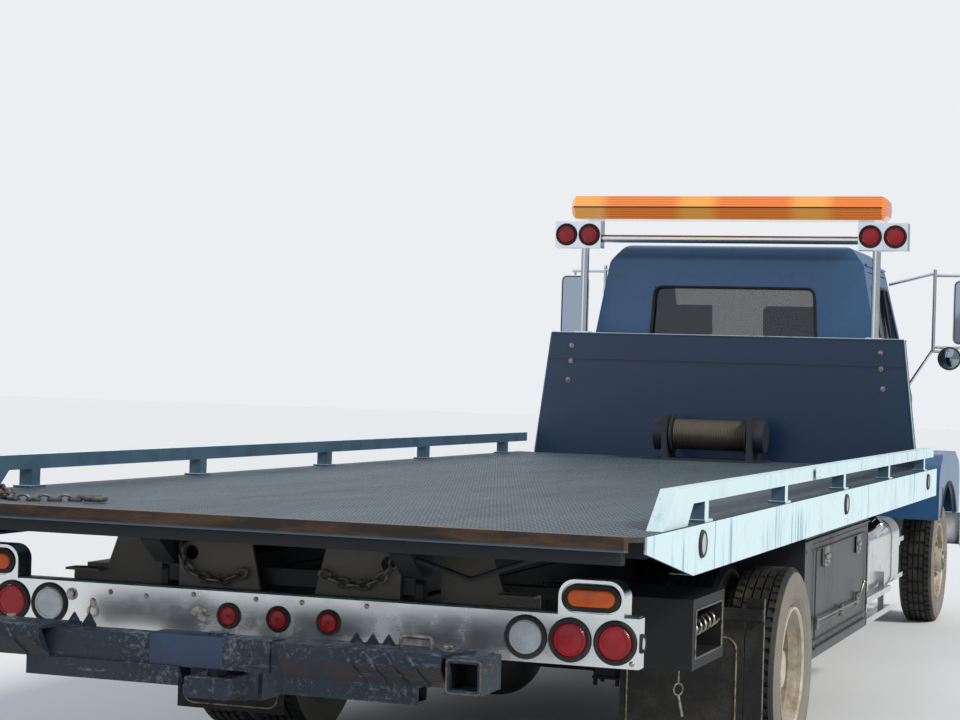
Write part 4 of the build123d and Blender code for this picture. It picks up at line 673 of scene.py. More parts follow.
def frame_ring(bm, centre, half, corner, radius, sideways=False):
    """Bead along a rounded rectangle that faces the rear, or sideways."""
    normal, across = Vector(FRONT), Vector((0, 1, 0))
    if sideways:
        normal, across = across, normal
    up = normal.cross(across)
    ring = []
    for turn, (sx, sz) in enumerate(((1, 1), (-1, 1), (-1, -1), (1, -1))):
        pivot = Vector(centre) + across * sx * (half[0] - corner) + up * sz * (half[1] - corner)
        for step in range(5):
            angle = pi / 2 * (turn + step / 4)
            ring.append(pivot + across * cos(angle) * corner + up * sin(angle) * corner)
    tube(bm, ring, radius, normal)


def rounded(points, radius, steps=4):
    """Closed outline with its corners rounded off."""
    ring = []
    for before, here, after in zip(points[-1:] + points[:-1], points, points[1:] + points[:1]):
        here = Vector(here)
        start = here + (Vector(before) - here).normalized() * radius
        end = here + (Vector(after) - here).normalized() * radius
        for step in range(steps + 1):
            share = step / steps
            ring.append(start.lerp(here, share).lerp(here.lerp(end, share), share))
    return ring


class TOWTRUCK_OT_stage(bpy.types.Operator):
    """Pale floor, soft lamps and the camera that took the photograph"""
    bl_idname = "towtruck.stage"
    bl_label = "Stage and camera"

    def execute(self, context):
        scene = context.scene
        scene.view_settings.view_transform = "Standard"
        bpy.ops.mesh.primitive_plane_add(size=160, location=(0, 0, 0))
        floor = context.object
        floor.name = "floor"
        floor.data.materials.append(Finish("Pale floor", tone(226, 228, 230), 0.95, specular_ior_level=0.0).material)
        world = bpy.data.worlds.new("Studio")
        scene.world = world
        world.use_nodes = True
        nodes, links = world.node_tree.nodes, world.node_tree.links
        soft, seen = nodes["Background"], nodes.new("ShaderNodeBackground")
        for shader, colour, strength in ((soft, tone(226, 234, 244), 0.5), (seen, tone(236, 239, 242), 1.0)):
            shader.inputs["Color"].default_value = colour
            shader.inputs["Strength"].default_value = strength
        path, either, mix = (nodes.new("ShaderNode" + kind) for kind in ("LightPath", "Math", "MixShader"))
        either.operation = "MAXIMUM"
        for output, entry in ((path.outputs["Is Camera Ray"], either.inputs[0]),
                              (path.outputs["Is Transmission Ray"], either.inputs[1]),
                              (either.outputs[0], mix.inputs[0]), (soft.outputs[0], mix.inputs[1]),
                              (seen.outputs[0], mix.inputs[2]), (mix.outputs[0], nodes["World Output"].inputs[0])):
            links.new(output, entry)
        for name, origin, spread, strength, colour in (
                ("key", (-3.2, -9.0, 7.5), 14, 2.5, tone(255, 250, 240)),
                ("fill", (-9.0, 4.0, 5.0), 60, 0.5, tone(236, 244, 255)),
                ("front", (9.0, 6.0, 7.0), 60, 0.7, tone(255, 252, 248))):
            lamp = bpy.data.lights.new(name, "SUN")
            lamp.angle = radians(spread)
            lamp.energy = strength
            lamp.color = colour[:3]
            holder = bpy.data.objects.new(name, lamp)
            scene.collection.objects.link(holder)
            holder.location = origin
            holder.rotation_euler = (-Vector(origin)).to_track_quat("-Z", "Y").to_euler()
        lens_data = bpy.data.cameras.new("camera")
        lens_data.sensor_fit = "HORIZONTAL"
        lens_data.sensor_width = 36
        lens_data.lens = scene.tow_truck_sizes.lens
        lens_data.clip_end = 300
        camera = bpy.data.objects.new("camera", lens_data)
        scene.collection.objects.link(camera)
        yaw, pitch, roll = map(radians, CAMERA_TURN)
        ahead = Vector((cos(pitch) * cos(yaw), cos(pitch) * sin(yaw), sin(pitch)))
        right = Vector((sin(yaw), -cos(yaw), 0))
        up = right.cross(ahead)
        turn = Matrix((right * cos(roll) + up * sin(roll), up * cos(roll) - right * sin(roll), -ahead))
        camera.matrix_world = Matrix.Translation(CAMERA_AT) @ turn.transposed().to_4x4()
        scene.camera = camera
        return {"FINISHED"}


class TOWTRUCK_OT_finishes(bpy.types.Operator):
    """Procedural paint, rubber, metal and glass on every solid of the frame"""
    bl_idname = "towtruck.finishes"
    bl_label = "Finishes"

    def execute(self, context):
        FINISH.update(make_finishes(context.scene.tow_truck_colours, context.scene.tow_truck_sizes))
        FINISH.update(extra_finishes(context.scene.tow_truck_colours))
        for part in frame["record"]["subparts"]:
            materials = frame["nodes"][part["node"]].data.materials
            materials.clear()
            chosen = {"beacon_bar": "beacon", "side_markers": "lens_clear"}.get(part["node"], part["material_slot"])
            materials.append(FINISH[chosen])
        return {"FINISHED"}


class TOWTRUCK_OT_tyres(bpy.types.Operator):
    """Road tyres with ribs, blocks and shaped sidewalls in place of the plain ones"""
    bl_idname = "towtruck.tyres"
    bl_label = "Tyres"

    def tyre(self, bm, centre, blocks):
        """One tyre, turned from half a section and its mirror, with blocks sunk into its tread and shoulders."""
        half, r, bead = TYRE_WIDTH / 2, TYRE_R, RIM_R - 0.0015
        # distance from the side and depth of the edges of two grooves
        rib_edges = ((0.057, 0), (0.0585, 0.012), (0.0655, 0.012), (0.067, 0),
                     (0.091, 0), (0.0925, 0.012), (0.0995, 0.012), (0.101, 0))
        side = [(bead, 0.030), (bead + 0.010, 0.020), (bead + 0.022, 0.014), (bead + 0.026, 0.019),
                (bead + 0.045, 0.007), (bead + 0.060, 0.002), (r - 0.065, 0), (r - 0.060, -0.0015), (r - 0.050, 0),
                (r - 0.036, 0.005), (r - 0.018, 0.014), (r - 0.006, 0.022), (r, 0.030)]
        side += [(r - depth, along) for along, depth in rib_edges]
        profile = [(radius, along - half) for radius, along in side]
        profile += [(radius, -along) for radius, along in reversed(profile)]
        fresh = bmesh.new()
        turned(fresh, profile, centre, (0, 1, 0), steps=blocks * 2)
        cuts = []
        for face in fresh.faces:
            if any(abs(Vector((v.co.x - centre[0], v.co.z - centre[2])).length - r) >= 1e-4 for v in face.verts):
                continue
            place = face.calc_center_median()
            turn = Vector((place.x - centre[0], place.z - centre[2])).angle_signed(Vector((1, 0)))
            index = int(round((turn + pi) / (2 * pi) * blocks * 2 - 0.5)) % (blocks * 2)
            off_middle = abs(place.y - centre[1]) - (half - 0.058)
            if (index % 2 == 0 and off_middle > 0) or (index % 4 == 1 and off_middle < 0):
                cuts.append(face)
        for face in bmesh.ops.extrude_discrete_faces(fresh, faces=cuts)["faces"]:
            place = face.calc_center_median()
            inward = Vector((centre[0] - place.x, 0, centre[2] - place.z)).normalized()
            squeeze = Vector((-inward.z, 0, inward.x))
            for vert in face.verts:
                vert.co += inward * 0.008 - squeeze * (vert.co - place).dot(squeeze) * 0.35
        mesh = bpy.data.meshes.new("tyre")
        fresh.to_mesh(mesh)
        fresh.free()
        bm.from_mesh(mesh)
        bpy.data.meshes.remove(mesh)

    def execute(self, context):
        for name, _ in SIDES:
            for node, body, count in ((f"tyres_rear_{name}", f"rear_wheels_{name}", 2),
                                      (f"tyre_front_{name}", f"front_wheel_{name}", 1)):
                low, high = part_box(node)
                bm = bmesh.new()
                for y in (low.y + TYRE_WIDTH / 2, high.y - TYRE_WIDTH / 2)[:count]:
                    self.tyre(bm, (middle(node).x, y, middle(node).z), context.scene.tow_truck_sizes.tread_blocks)
                finished(f"road_{node}", bm, "tyre_rubber", body, replaces=(node,), sharp=28)
        return {"FINISHED"}


class TOWTRUCK_OT_wheel_fittings(bpy.types.Operator):
    """Lug nuts, hub caps and rim lips of the wheels"""
    bl_idname = "towtruck.wheel_fittings"
    bl_label = "Wheel fittings"

    def execute(self, context):
        nuts = context.scene.tow_truck_sizes.lug_nuts
        for name, side in SIDES:
            for node, tyre, body, dish, hub in (
                    (f"rims_rear_{name}", f"tyres_rear_{name}", f"rear_wheels_{name}", 0.150, 0.060),
                    (f"rim_front_{name}", f"tyre_front_{name}", f"front_wheel_{name}", 0.040, 0.075)):
                x, z = middle(tyre).x, middle(tyre).z
                lip = outer_face(tyre, side) - side * 0.024
                face = lip - side * dish
                out = (0, side, 0)
                bm = bmesh.new()
                turned(bm, [(0.234, -0.004), (RIM_R - 0.0025, -0.004), (RIM_R, 0.004), (RIM_R - 0.002, 0.012),
                            (0.241, 0.0125), (0.234, 0.004)], (x, lip, z), out, 72)
                turned(bm, [(0.2335, 0), (0.2335, 0.018), (0.2, 0.004), (0.2, 0)], (x, face, z), out, 72)
                turned(bm, [(0.062, 0), (0.138, 0), (0.138, 0.004), (0.128, 0.009), (0.075, 0.009), (0.062, 0.004)],
                       (x, face, z), out, 64)
                finished(f"rim_lip_{node}", bm, "rim_steel", body)
                bm = bmesh.new()
                for number in range(nuts):
                    angle = 2 * pi * (number + 0.5) / nuts
                    place = Vector((x + cos(angle) * 0.1075, face + side * 0.009, z + sin(angle) * 0.1075))
                    hexagon(bm, place, out, 0.026, 0.022, 0.003)
                    rod(bm, place + Vector(out) * 0.020, place + Vector(out) * 0.033, 0.009, 10)
                turned(bm, [(0, hub + 0.014), (0.040, hub + 0.012), (0.056, hub + 0.004), (0.062, hub - 0.006),
                            (0.062, 0), (0.080, 0), (0.083, 0.008), (0.070, 0.016), (0.064, 0.020),
                            (0.0645, hub - 0.006), (0.058, hub + 0.007), (0.041, hub + 0.015), (0, hub + 0.017)],
                       (x, face + side * 0.009, z), out, 40)
                finished(f"wheel_nuts_{node}", bm, "bolt", body)
        return {"FINISHED"}


class TOWTRUCK_OT_tail_lamps(bpy.types.Operator):
    """Round and oval tail lamps with their rubber rings, bolts and the capping of the lamp bar"""
    bl_idname = "towtruck.tail_lamps"
    bl_label = "Tail lamps"

    def execute(self, context):
        outer = context.scene.tow_truck_sizes.grommet / 2
        rings, ends, bolts = bmesh.new(), bmesh.new(), bmesh.new()
        lenses = {"red": bmesh.new(), "clear": bmesh.new()}
        for side in BOTH:
            for y, kind in ((1.107, "red"), (0.965, "red"), (0.824, "clear")):
                grommet(rings, (TAIL, side * y, LAMP_Z), outer)
                lamp_glass(lenses[kind], (TAIL, side * y, LAMP_Z))
            end = (TAIL + 0.030, side * 1.181, LAMP_Z)
            grommet(rings, end, 0.030, 0.022, (0, side, 0))
            turned(ends, [(0, 0.009), (0.017, 0.007), (0.0215, 0.002), (0.0215, -0.002), (0, -0.002)], end,
                   (0, side, 0), 32)
        for y in (0.173, 0.0, -0.173):
            grommet(rings, (TAIL, y, LAMP_Z), 0.0425, 0.031)
            lamp_glass(lenses["red"], (TAIL, y, LAMP_Z), 0.0305)
            hexagon(rings, (TAIL - 0.009, y, LAMP_Z), REAR, 0.008, 0.003)
        finished("lamp_rings", rings, "flap_rubber", "chassis")
        for kind, bm in lenses.items():
            finished(f"{kind}_lamp_lenses", bm, f"lens_{kind}", "chassis", replaces=(f"tail_lamps_{kind}",))
        finished("end_marker_lenses", ends, "lens_clear", "chassis")

        amber, rim = bmesh.new(), bmesh.new()
        y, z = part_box("tail_lamps_amber")[1].y - 0.081, middle("tail_lamps_amber").z
        for side in BOTH:
            self.oval(amber, (TAIL - 0.022, side * y, z), (0.074, 0.026), 0.012, 0.006)
            self.oval(rim, (TAIL - 0.020, side * y, z), (0.090, 0.042), 0.008, 0.004, hole=(0.073, 0.025))
        finished("amber_lenses", amber, "lens_amber", "chassis", replaces=("tail_lamps_amber",))
        finished("amber_rings", rim, "flap_rubber", "chassis")
        for y, z in ((0.74, 0.045), (0.60, 0.05), (0.47, 0.045), (-0.30, 0.06), (0.30, 0.06), (-0.62, -0.06),
                     (0.08, 0.058), (-0.08, 0.058), (-0.72, -0.062), (-1.16, -0.06)):
            turned(bolts, [(0, 0.005), (0.005, 0.0045), (0.0085, 0.0015), (0.009, -0.001), (0, -0.001)],
                   (TAIL, y, LAMP_Z + z), REAR, 16)
        hexagon(bolts, (TAIL, 0.742, LAMP_Z + 0.035), REAR, 0.022, 0.008, 0.002)
        finished("bar_bolts", bolts, "bolt", "chassis")
        strip = bmesh.new()
        block(strip, (TAIL + 0.004, -1.176, BAR_HIGH), (TAIL + 0.056, 1.176, BAR_HIGH + 0.006), 0.002)
        finished("bar_capping", strip, "capping", "chassis")
        return {"FINISHED"}

    def oval(self, bm, centre, size, depth, bevel, hole=None):
        """Stadium-shaped block, or a ring of that outline where a hole is given."""
        back, face = Vector(centre), Vector(centre) + Vector((-depth, 0, 0))
        loops = [self.stadium(bm, back, *size), self.stadium(bm, face, *size)]
        edges = loops[1]
        if hole:
            loops += [self.stadium(bm, face, *hole), self.stadium(bm, back, *hole)]
            for first, second in zip(loops, loops[1:] + loops[:1]):
                bmesh.ops.bridge_loops(bm, edges=first + second)
            edges = loops[1] + loops[2]
        else:
            bmesh.ops.bridge_loops(bm, edges=loops[0] + loops[1])
            for loop in loops:
                bmesh.ops.contextual_create(bm, geom=loop)
        bevelled(bm, edges, bevel, 3)

    def stadium(self, bm, centre, reach, radius):
        """Circle drawn out sideways to a reach; gives its edges."""
        verts = bmesh.ops.create_circle(bm, cap_ends=False, segments=32, radius=radius)["verts"]
        for vert in verts:
            side = 1 if vert.co.x > 1e-6 else -1 if vert.co.x < -1e-6 else 0
            vert.co = Vector((0, vert.co.x + side * (reach - radius), vert.co.y)) + centre
        return list({edge for vert in verts for edge in vert.link_edges})


class TOWTRUCK_OT_tail_chains(bpy.types.Operator):
    """Safety chains that hang across the tail plates, and the heap of chain on the deck"""
    bl_idname = "towtruck.tail_chains"
    bl_label = "Chains"

    def execute(self, context):
        sizes = context.scene.tow_truck_sizes
        x = TAIL + 0.045
        hung = bmesh.new()
        chain(hung, [(x, 0.372, 0.945), (x - 0.005, 0.368, 0.915), (x, 0.345, 0.876), (x, 0.29, 0.852),
                     (x, 0.22, 0.846), (x, 0.16, 0.870), (x + 0.002, 0.135, 0.885)], sizes)
        chain(hung, [(x + 0.002, -0.135, 0.885), (x, -0.17, 0.872), (x, -0.23, 0.858), (x, -0.30, 0.866),
                     (x, -0.36, 0.915), (x, -0.372, 0.945)], sizes)
        finished("tail_chains", hung, "chain", "tilt_frame")
        heap, hook = bmesh.new(), bmesh.new()
        base = DECK_HIGH.z + 0.006
        chain(heap, [(x, y, base + lift) for x, y, lift in (
            (-4.52, 1.06, 0), (-4.40, 1.10, 0), (-4.30, 1.05, 0), (-4.34, 0.97, 0), (-4.44, 0.99, 0.012),
            (-4.46, 1.06, 0.014), (-4.36, 1.08, 0.014), (-4.28, 1.00, 0.010), (-4.36, 0.93, 0), (-4.46, 0.92, 0),
            (-4.50, 1.00, 0.010), (-4.42, 1.05, 0.026), (-4.33, 1.00, 0.024), (-4.40, 0.94, 0.012), (-4.50, 0.86, 0),
            (-4.44, 0.78, 0), (-4.36, 0.70, 0))], sizes)
        finished("deck_chain", heap, "chain", "deck")
        swept(hook, [(-4.36, 0.70, base + 0.006)] + [(x, y, base + 0.008) for x, y in (
            (-4.35, 0.66), (-4.345, 0.62), (-4.37, 0.585), (-4.41, 0.58), (-4.43, 0.61), (-4.42, 0.635))], 0.009)
        finished("deck_hook", hook, "chain", "deck")
        return {"FINISHED"}


class TOWTRUCK_OT_lift_fittings(bpy.types.Operator):
    """Painted sleeve, handle, weld beads and bolts of the wheel lift's crossbar"""
    bl_idname = "towtruck.lift_fittings"
    bl_label = "Wheel lift fittings"

    def execute(self, context):
        x, z = LIFT_X, LIFT_Z
        top = z + 0.044
        sleeve, handle, ribs, lips, pins = (bmesh.new() for _ in range(5))
        block(sleeve, (x - 0.0515, -0.038, z - 0.0455), (x + 0.0515, 0.204, z + 0.0515), 0.004)
        finished("lift_sleeve", sleeve, "sleeve", "crossbar")
        swept(handle, [(x + 0.030, y, top + rise) for y, rise in (
            (-0.570, 0), (-0.570, 0.024), (-0.572, 0.040), (-0.590, 0.040), (-0.618, 0.040), (-0.648, 0.040),
            (-0.664, 0.040), (-0.666, 0.024), (-0.666, 0))], 0.0065)
        finished("lift_handle", handle, "bolt", "crossbar")
        # ribs pressed across the brackets' skirts, and the weld beads above them
        for y in (-0.440, -0.507, -0.570, -0.637, 0.600, 0.668):
            knee = (x - 0.108, y - 0.026, top - 0.030)
            rod(ribs, (x - 0.108, y, top + 0.004), knee, 0.0065, 8)
            rod(ribs, knee, (x - 0.062, y - 0.060, z - 0.041), 0.0065, 8)
        for start, end in ((-0.740, -0.246), (0.548, 0.744)):
            rod(ribs, (x - 0.104, start, top + 0.009), (x - 0.104, end, top + 0.009), 0.004, 8)
        finished("lift_ribs", ribs, "lift_paint", "crossbar")
        for side in BOTH:
            frame_ring(lips, (x - 0.115, side * 0.816, z - 0.002), (0.0510, 0.047), 0.010, 0.0032)
            hexagon(pins, (x + 0.02, side * 0.72, top + 0.009), (0, 0, 1), 0.026, 0.012, 0.003)
        finished("socket_lips", lips, "chain", "crossbar")
        finished("lift_bolts", pins, "bolt", "crossbar")
        return {"FINISHED"}


class TOWTRUCK_OT_tail_fittings(bpy.types.Operator):
    """Keyhole and lock plates of the lamp bar, flap borders, bright edges, coil spring and pull ring"""
    bl_idname = "towtruck.tail_fittings"
    bl_label = "Tail fittings"

    def execute(self, context):
        face = TAIL - 0.0005
        flap, flap_y, flap_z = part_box("mud_flaps")[1].x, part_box("mud_flaps")[1].y, 0.385
        low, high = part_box("rear_brackets")
        locks, borders, screws, edges, spring, ring = (bmesh.new() for _ in range(6))
        # lock plate with its keyhole, a ring and the tab above it
        plate(locks, [(face, 0.311, 0.744), (face, 0.284, 0.772), (face, 0.232, 0.744), (face, 0.262, 0.716)],
              (-0.004, 0, 0), 0.001)
        turned(locks, [(0, 0.006), (0.008, 0.005), (0.010, 0.001), (0, 0.001)], (face, 0.270, 0.744), REAR, 20)
        turned(locks, [(0.013, 0), (0.013, 0.003), (0.021, 0.003), (0.021, 0)], (face, 0.662, 0.724), REAR, 28)
        turned(locks, [(0, 0.005), (0.009, 0.004), (0.011, 0), (0, 0)], (face, 0.664, 0.757), REAR, 20)
        block(locks, (face - 0.002, 0.6515, 0.736), (face, 0.6725, 0.757), 0.0006)
        finished("lamp_bar_locks", locks, "bolt", "chassis")

        for side in BOTH:
            # border and screws of the mud flap, its bright edge, and the rim of the bracket box
            frame_ring(borders, (flap - 0.008, side * 0.925, flap_z), (0.208, 0.205), 0.045, 0.0035)
            for y in (0.74, 0.86, 0.98, 1.10):
                hexagon(screws, (flap - 0.0085, side * y, 0.680), REAR, 0.014, 0.006, 0.002)
            block(edges, (flap, side * (flap_y - 0.004), 0.286), (flap + 0.008, side * (flap_y + 0.002), 0.738), 0.001)
            frame_ring(edges, ((low.x + high.x) / 2, side * (high.y + 0.001), (low.z + high.z) / 2), (0.202, 0.082),
                       0.008, 0.0035, sideways=True)
        finished("flap_borders", borders, "flap_line", "chassis")
        finished("flap_screws", screws, "bolt", "chassis")
        finished("bright_edges", edges, "bolt", "chassis")

        # six turns of a coil spring that leans away from the bracket, and the rod through it
        coil = []
        for step in range(8 * 6 + 1):
            angle, turns = 2 * pi * step / 8, step / 8
            coil.append((low.x + 0.21 + 0.036 * turns, -1.076 - cos(angle) * 0.026 - 0.007 * turns,
                         0.662 + sin(angle) * 0.026 + 0.0065 * turns))
        swept(spring, coil, 0.0055, 8)
        rod(spring, (low.x + 0.041, -1.085, 0.664), (low.x + 0.212, -1.102, 0.662), 0.0055, 12)
        finished("bracket_spring", spring, "bolt", "chassis")
        x, y = low.x + 0.010, -1.104
        turned(ring, [(0.020, -0.003), (0.023, 0), (0.020, 0.003), (0.017, 0)], (x, y, 0.496), (0.7, 1, 0), 24)
        rod(ring, (x, y, 0.478), (x, y - 0.016, 0.405), 0.0045, 10, bevel=0.001)
        rod(ring, (x, y, 0.515), (x, y, low.z + 0.001), 0.003, 8)
        finished("pull_ring", ring, "bolt", "chassis")

        rings, joints = bmesh.new(), bmesh.new()
        for side in BOTH:
            for x in (TAIL + 0.404, TAIL + 3.175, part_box("side_markers")[1].x - 0.034):
                turned(rings, [(0.0345, -0.001), (0.0345, 0.008), (0.038, 0.011), (0.043, 0.008), (0.045, 0.002),
                               (0.045, -0.001)], (x, side * DECK_HIGH.y, middle("side_markers").z), (0, side, 0), 40)
            slab(joints, (TAIL + 2.49, side * 1.264, 1.1775), (0.050, 0.0015, 0.0215), 0.0008)
            for x in (2.455, 2.525):
                for z in (1.166, 1.189):
                    stud(joints, (TAIL + x, side * 1.2655, z), (0, side, 0), 0.007)
        finished("marker_rings", rings, "trim_dark", "deck")
        finished("rail_splices", joints, "deck_side", "deck")
        return {"FINISHED"}


class TOWTRUCK_OT_toolbox_fittings(bpy.types.Operator):
    """Latches, hinges and pull rods of the toolbox doors, drip lips and rivets of the boxes"""
    bl_idname = "towtruck.toolbox_fittings"
    bl_label = "Toolbox fittings"

    def execute(self, context):
        lips = bmesh.new()
        for name, side in SIDES:
            low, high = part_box(f"toolbox_{name}_door")
            face, out = outer_face(f"toolbox_{name}_door", side), (0, side, 0)
            latches, hinge = bmesh.new(), bmesh.new()
            z = high.z - 0.070
            for x in (low.x + 0.30, high.x - 0.30):
                frame_ring(latches, (x, face + side * 0.001, z), (0.062, 0.042), 0.012, 0.003, sideways=True)
                slab(latches, (x, face + side * 0.0005, z), (0.060, 0.0015, 0.040), 0.0008)
                slab(latches, (x, face + side * 0.0055, z + 0.001), (0.048, 0.0045, 0.011), 0.003)
                turned(latches, [(0, 0.012), (0.008, 0.011), (0.010, 0.008), (0.010, 0), (0, 0)],
                       (x, face, z - 0.024), out, 16)
            finished(f"toolbox_latches_{name}", latches, "bolt", f"toolbox_door_{name}")
            pin_y, pin_z = face + side * 0.002, low.z + 0.010
            rod(hinge, (low.x + 0.02, pin_y, pin_z), (high.x - 0.02, pin_y, pin_z), 0.005, 12)
            for number in range(9):
                stud(hinge, (low.x + 0.06 + number * (high.x - low.x - 0.12) / 8, face, low.z + 0.028), out, 0.007)
            frame_ring(hinge, ((low.x + high.x) / 2, face, (low.z + high.z) / 2 + 0.01),
                       ((high.x - low.x) / 2 - 0.03, (high.z - low.z) / 2 - 0.035), 0.03, 0.003, sideways=True)
            finished(f"toolbox_hinge_{name}", hinge, "box_grey", f"toolbox_door_{name}")
            low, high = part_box(f"toolbox_{name}")
            face = outer_face(f"toolbox_{name}", side)
            block(lips, (low.x, face, high.z - 0.018), (high.x, face + side * 0.012, high.z - 0.012), 0.001)
            for x in (low.x + 0.03, low.x + 0.16):
                for z in (low.z + 0.05, high.z - 0.06):
                    stud(lips, (x, face, z), out, 0.008)
        # two pull rods and their lever stand off the right door on small brackets
        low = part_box("toolbox_right_door")[0]
        face = low.y
        pulls = bmesh.new()
        rod(pulls, (low.x + 0.010, face - 0.014, 0.531), (TAIL + 4.080, face - 0.014, 0.522), 0.0055, 10)
        rod(pulls, (low.x + 0.010, face - 0.010, 0.502), (TAIL + 3.930, face - 0.010, 0.516), 0.003, 8)
        for x in (low.x + 0.012, TAIL + 3.60):
            slab(pulls, (x, face - 0.0095, 0.5175), (0.008, 0.0105, 0.0275), 0.002)
        slab(pulls, (TAIL + 4.085, face - 0.0055, 0.530), (0.025, 0.0065, 0.030), 0.003)
        rod(pulls, (TAIL + 4.085, face - 0.014, 0.535), (TAIL + 4.115, face - 0.030, 0.600), 0.006, 10, bevel=0.001)
        turned(pulls, [(0, 0.010), (0.006, 0.008), (0.009, 0), (0.006, -0.008), (0, -0.010)],
               (TAIL + 4.118, face - 0.031, 0.606), (0, 0, 1), 14)
        finished("door_pull_rods", pulls, "bolt", "toolbox_door_right")
        finished("toolbox_lips", lips, "box_grey", "chassis")
        return {"FINISHED"}


class TOWTRUCK_OT_headboard_fittings(bpy.types.Operator):
    """Bolts and edges of the headboard, seams of the beacon bar, and the pylon's lamps"""
    bl_idname = "towtruck.headboard_fittings"
    bl_label = "Headboard and light pylon"

    def execute(self, context):
        face = BOARD_LOW.x
        bolts, trims, seams, rings, glass = (bmesh.new() for _ in range(5))
        edge, corner = face + 0.006, 1.065
        low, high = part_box("beacon_bar")
        lamp_x, lamp_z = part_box("pylon_lamps")[0].x + 0.012, middle("pylon_lamps").z
        for side in BOTH:
            for y, z in ((0.935, 1.743), (0.938, 1.650), (0.953, 1.534)):
                hexagon(bolts, (face, side * y, z), REAR, 0.016, 0.006, 0.002)
            rod(trims, (edge, side * (BOARD_HIGH.y - 0.002), DECK_HIGH.z + 0.004),
                (edge, side * (corner + 0.0005), BOARD_HIGH.z - 0.002), 0.005, 8)
            for y in (0.852, 0.996):
                turned(rings, [(0.053, -0.002), (0.053, 0.006), (0.056, 0.0085), (0.061, 0.0095), (0.066, 0.0075),
                               (0.068, 0.003), (0.068, -0.002)], (lamp_x, side * y, lamp_z), REAR)
                turned(glass, [(0, 0.0115), (0.033, 0.0105), (0.042, 0.009), (0.044, 0.0115), (0.049, 0.0115),
                               (0.052, 0.006), (0.0525, -0.002), (0, -0.002)], (lamp_x, side * y, lamp_z), REAR)
        rod(trims, (edge, -corner, BOARD_HIGH.z), (edge, corner, BOARD_HIGH.z), 0.005, 8)
        slab(seams, (low + high) / 2, ((high.x - low.x) / 2 + 0.001, (high.y - low.y) / 2 - 0.02, 0.004), 0.001)
        for y in (-0.60, -0.24, 0.24, 0.60):
            block(seams, (low.x + 0.06, y - 0.006, high.z - 0.002), (high.x - 0.06, y + 0.006, high.z + 0.002), 0.001)
        finished("board_bolts", bolts, "bolt", "deck")
        finished("board_edges", trims, "deck_side", "deck")
        finished("beacon_seams", seams, "trim_dark", "deck")
        finished("pylon_lamp_rings", rings, "flap_rubber", "deck")
        finished("pylon_lamp_lenses", glass, "lens_red", "deck", replaces=("pylon_lamps",))
        return {"FINISHED"}


def screen_point(y, z, lift=0.0):
    """Point on the sloping plane of the windscreen, lifted off the glass."""
    return Vector((CAB_HIGH.x - 0.020 - (z - SCREEN_FOOT) * 0.5, y, z)) + Vector(SCREEN_OUT).normalized() * lift


def door_point(x, z, side, lift=0.0):
    """Point on the upper skin of a cab door, x from the lamp bar, lifted off the skin."""
    skin = BELT_Y - (z - BELT_Z) * LEAN / RISE
    return Vector((TAIL + x, side * skin, z)) + Vector((0, side * RISE, LEAN)).normalized() * lift


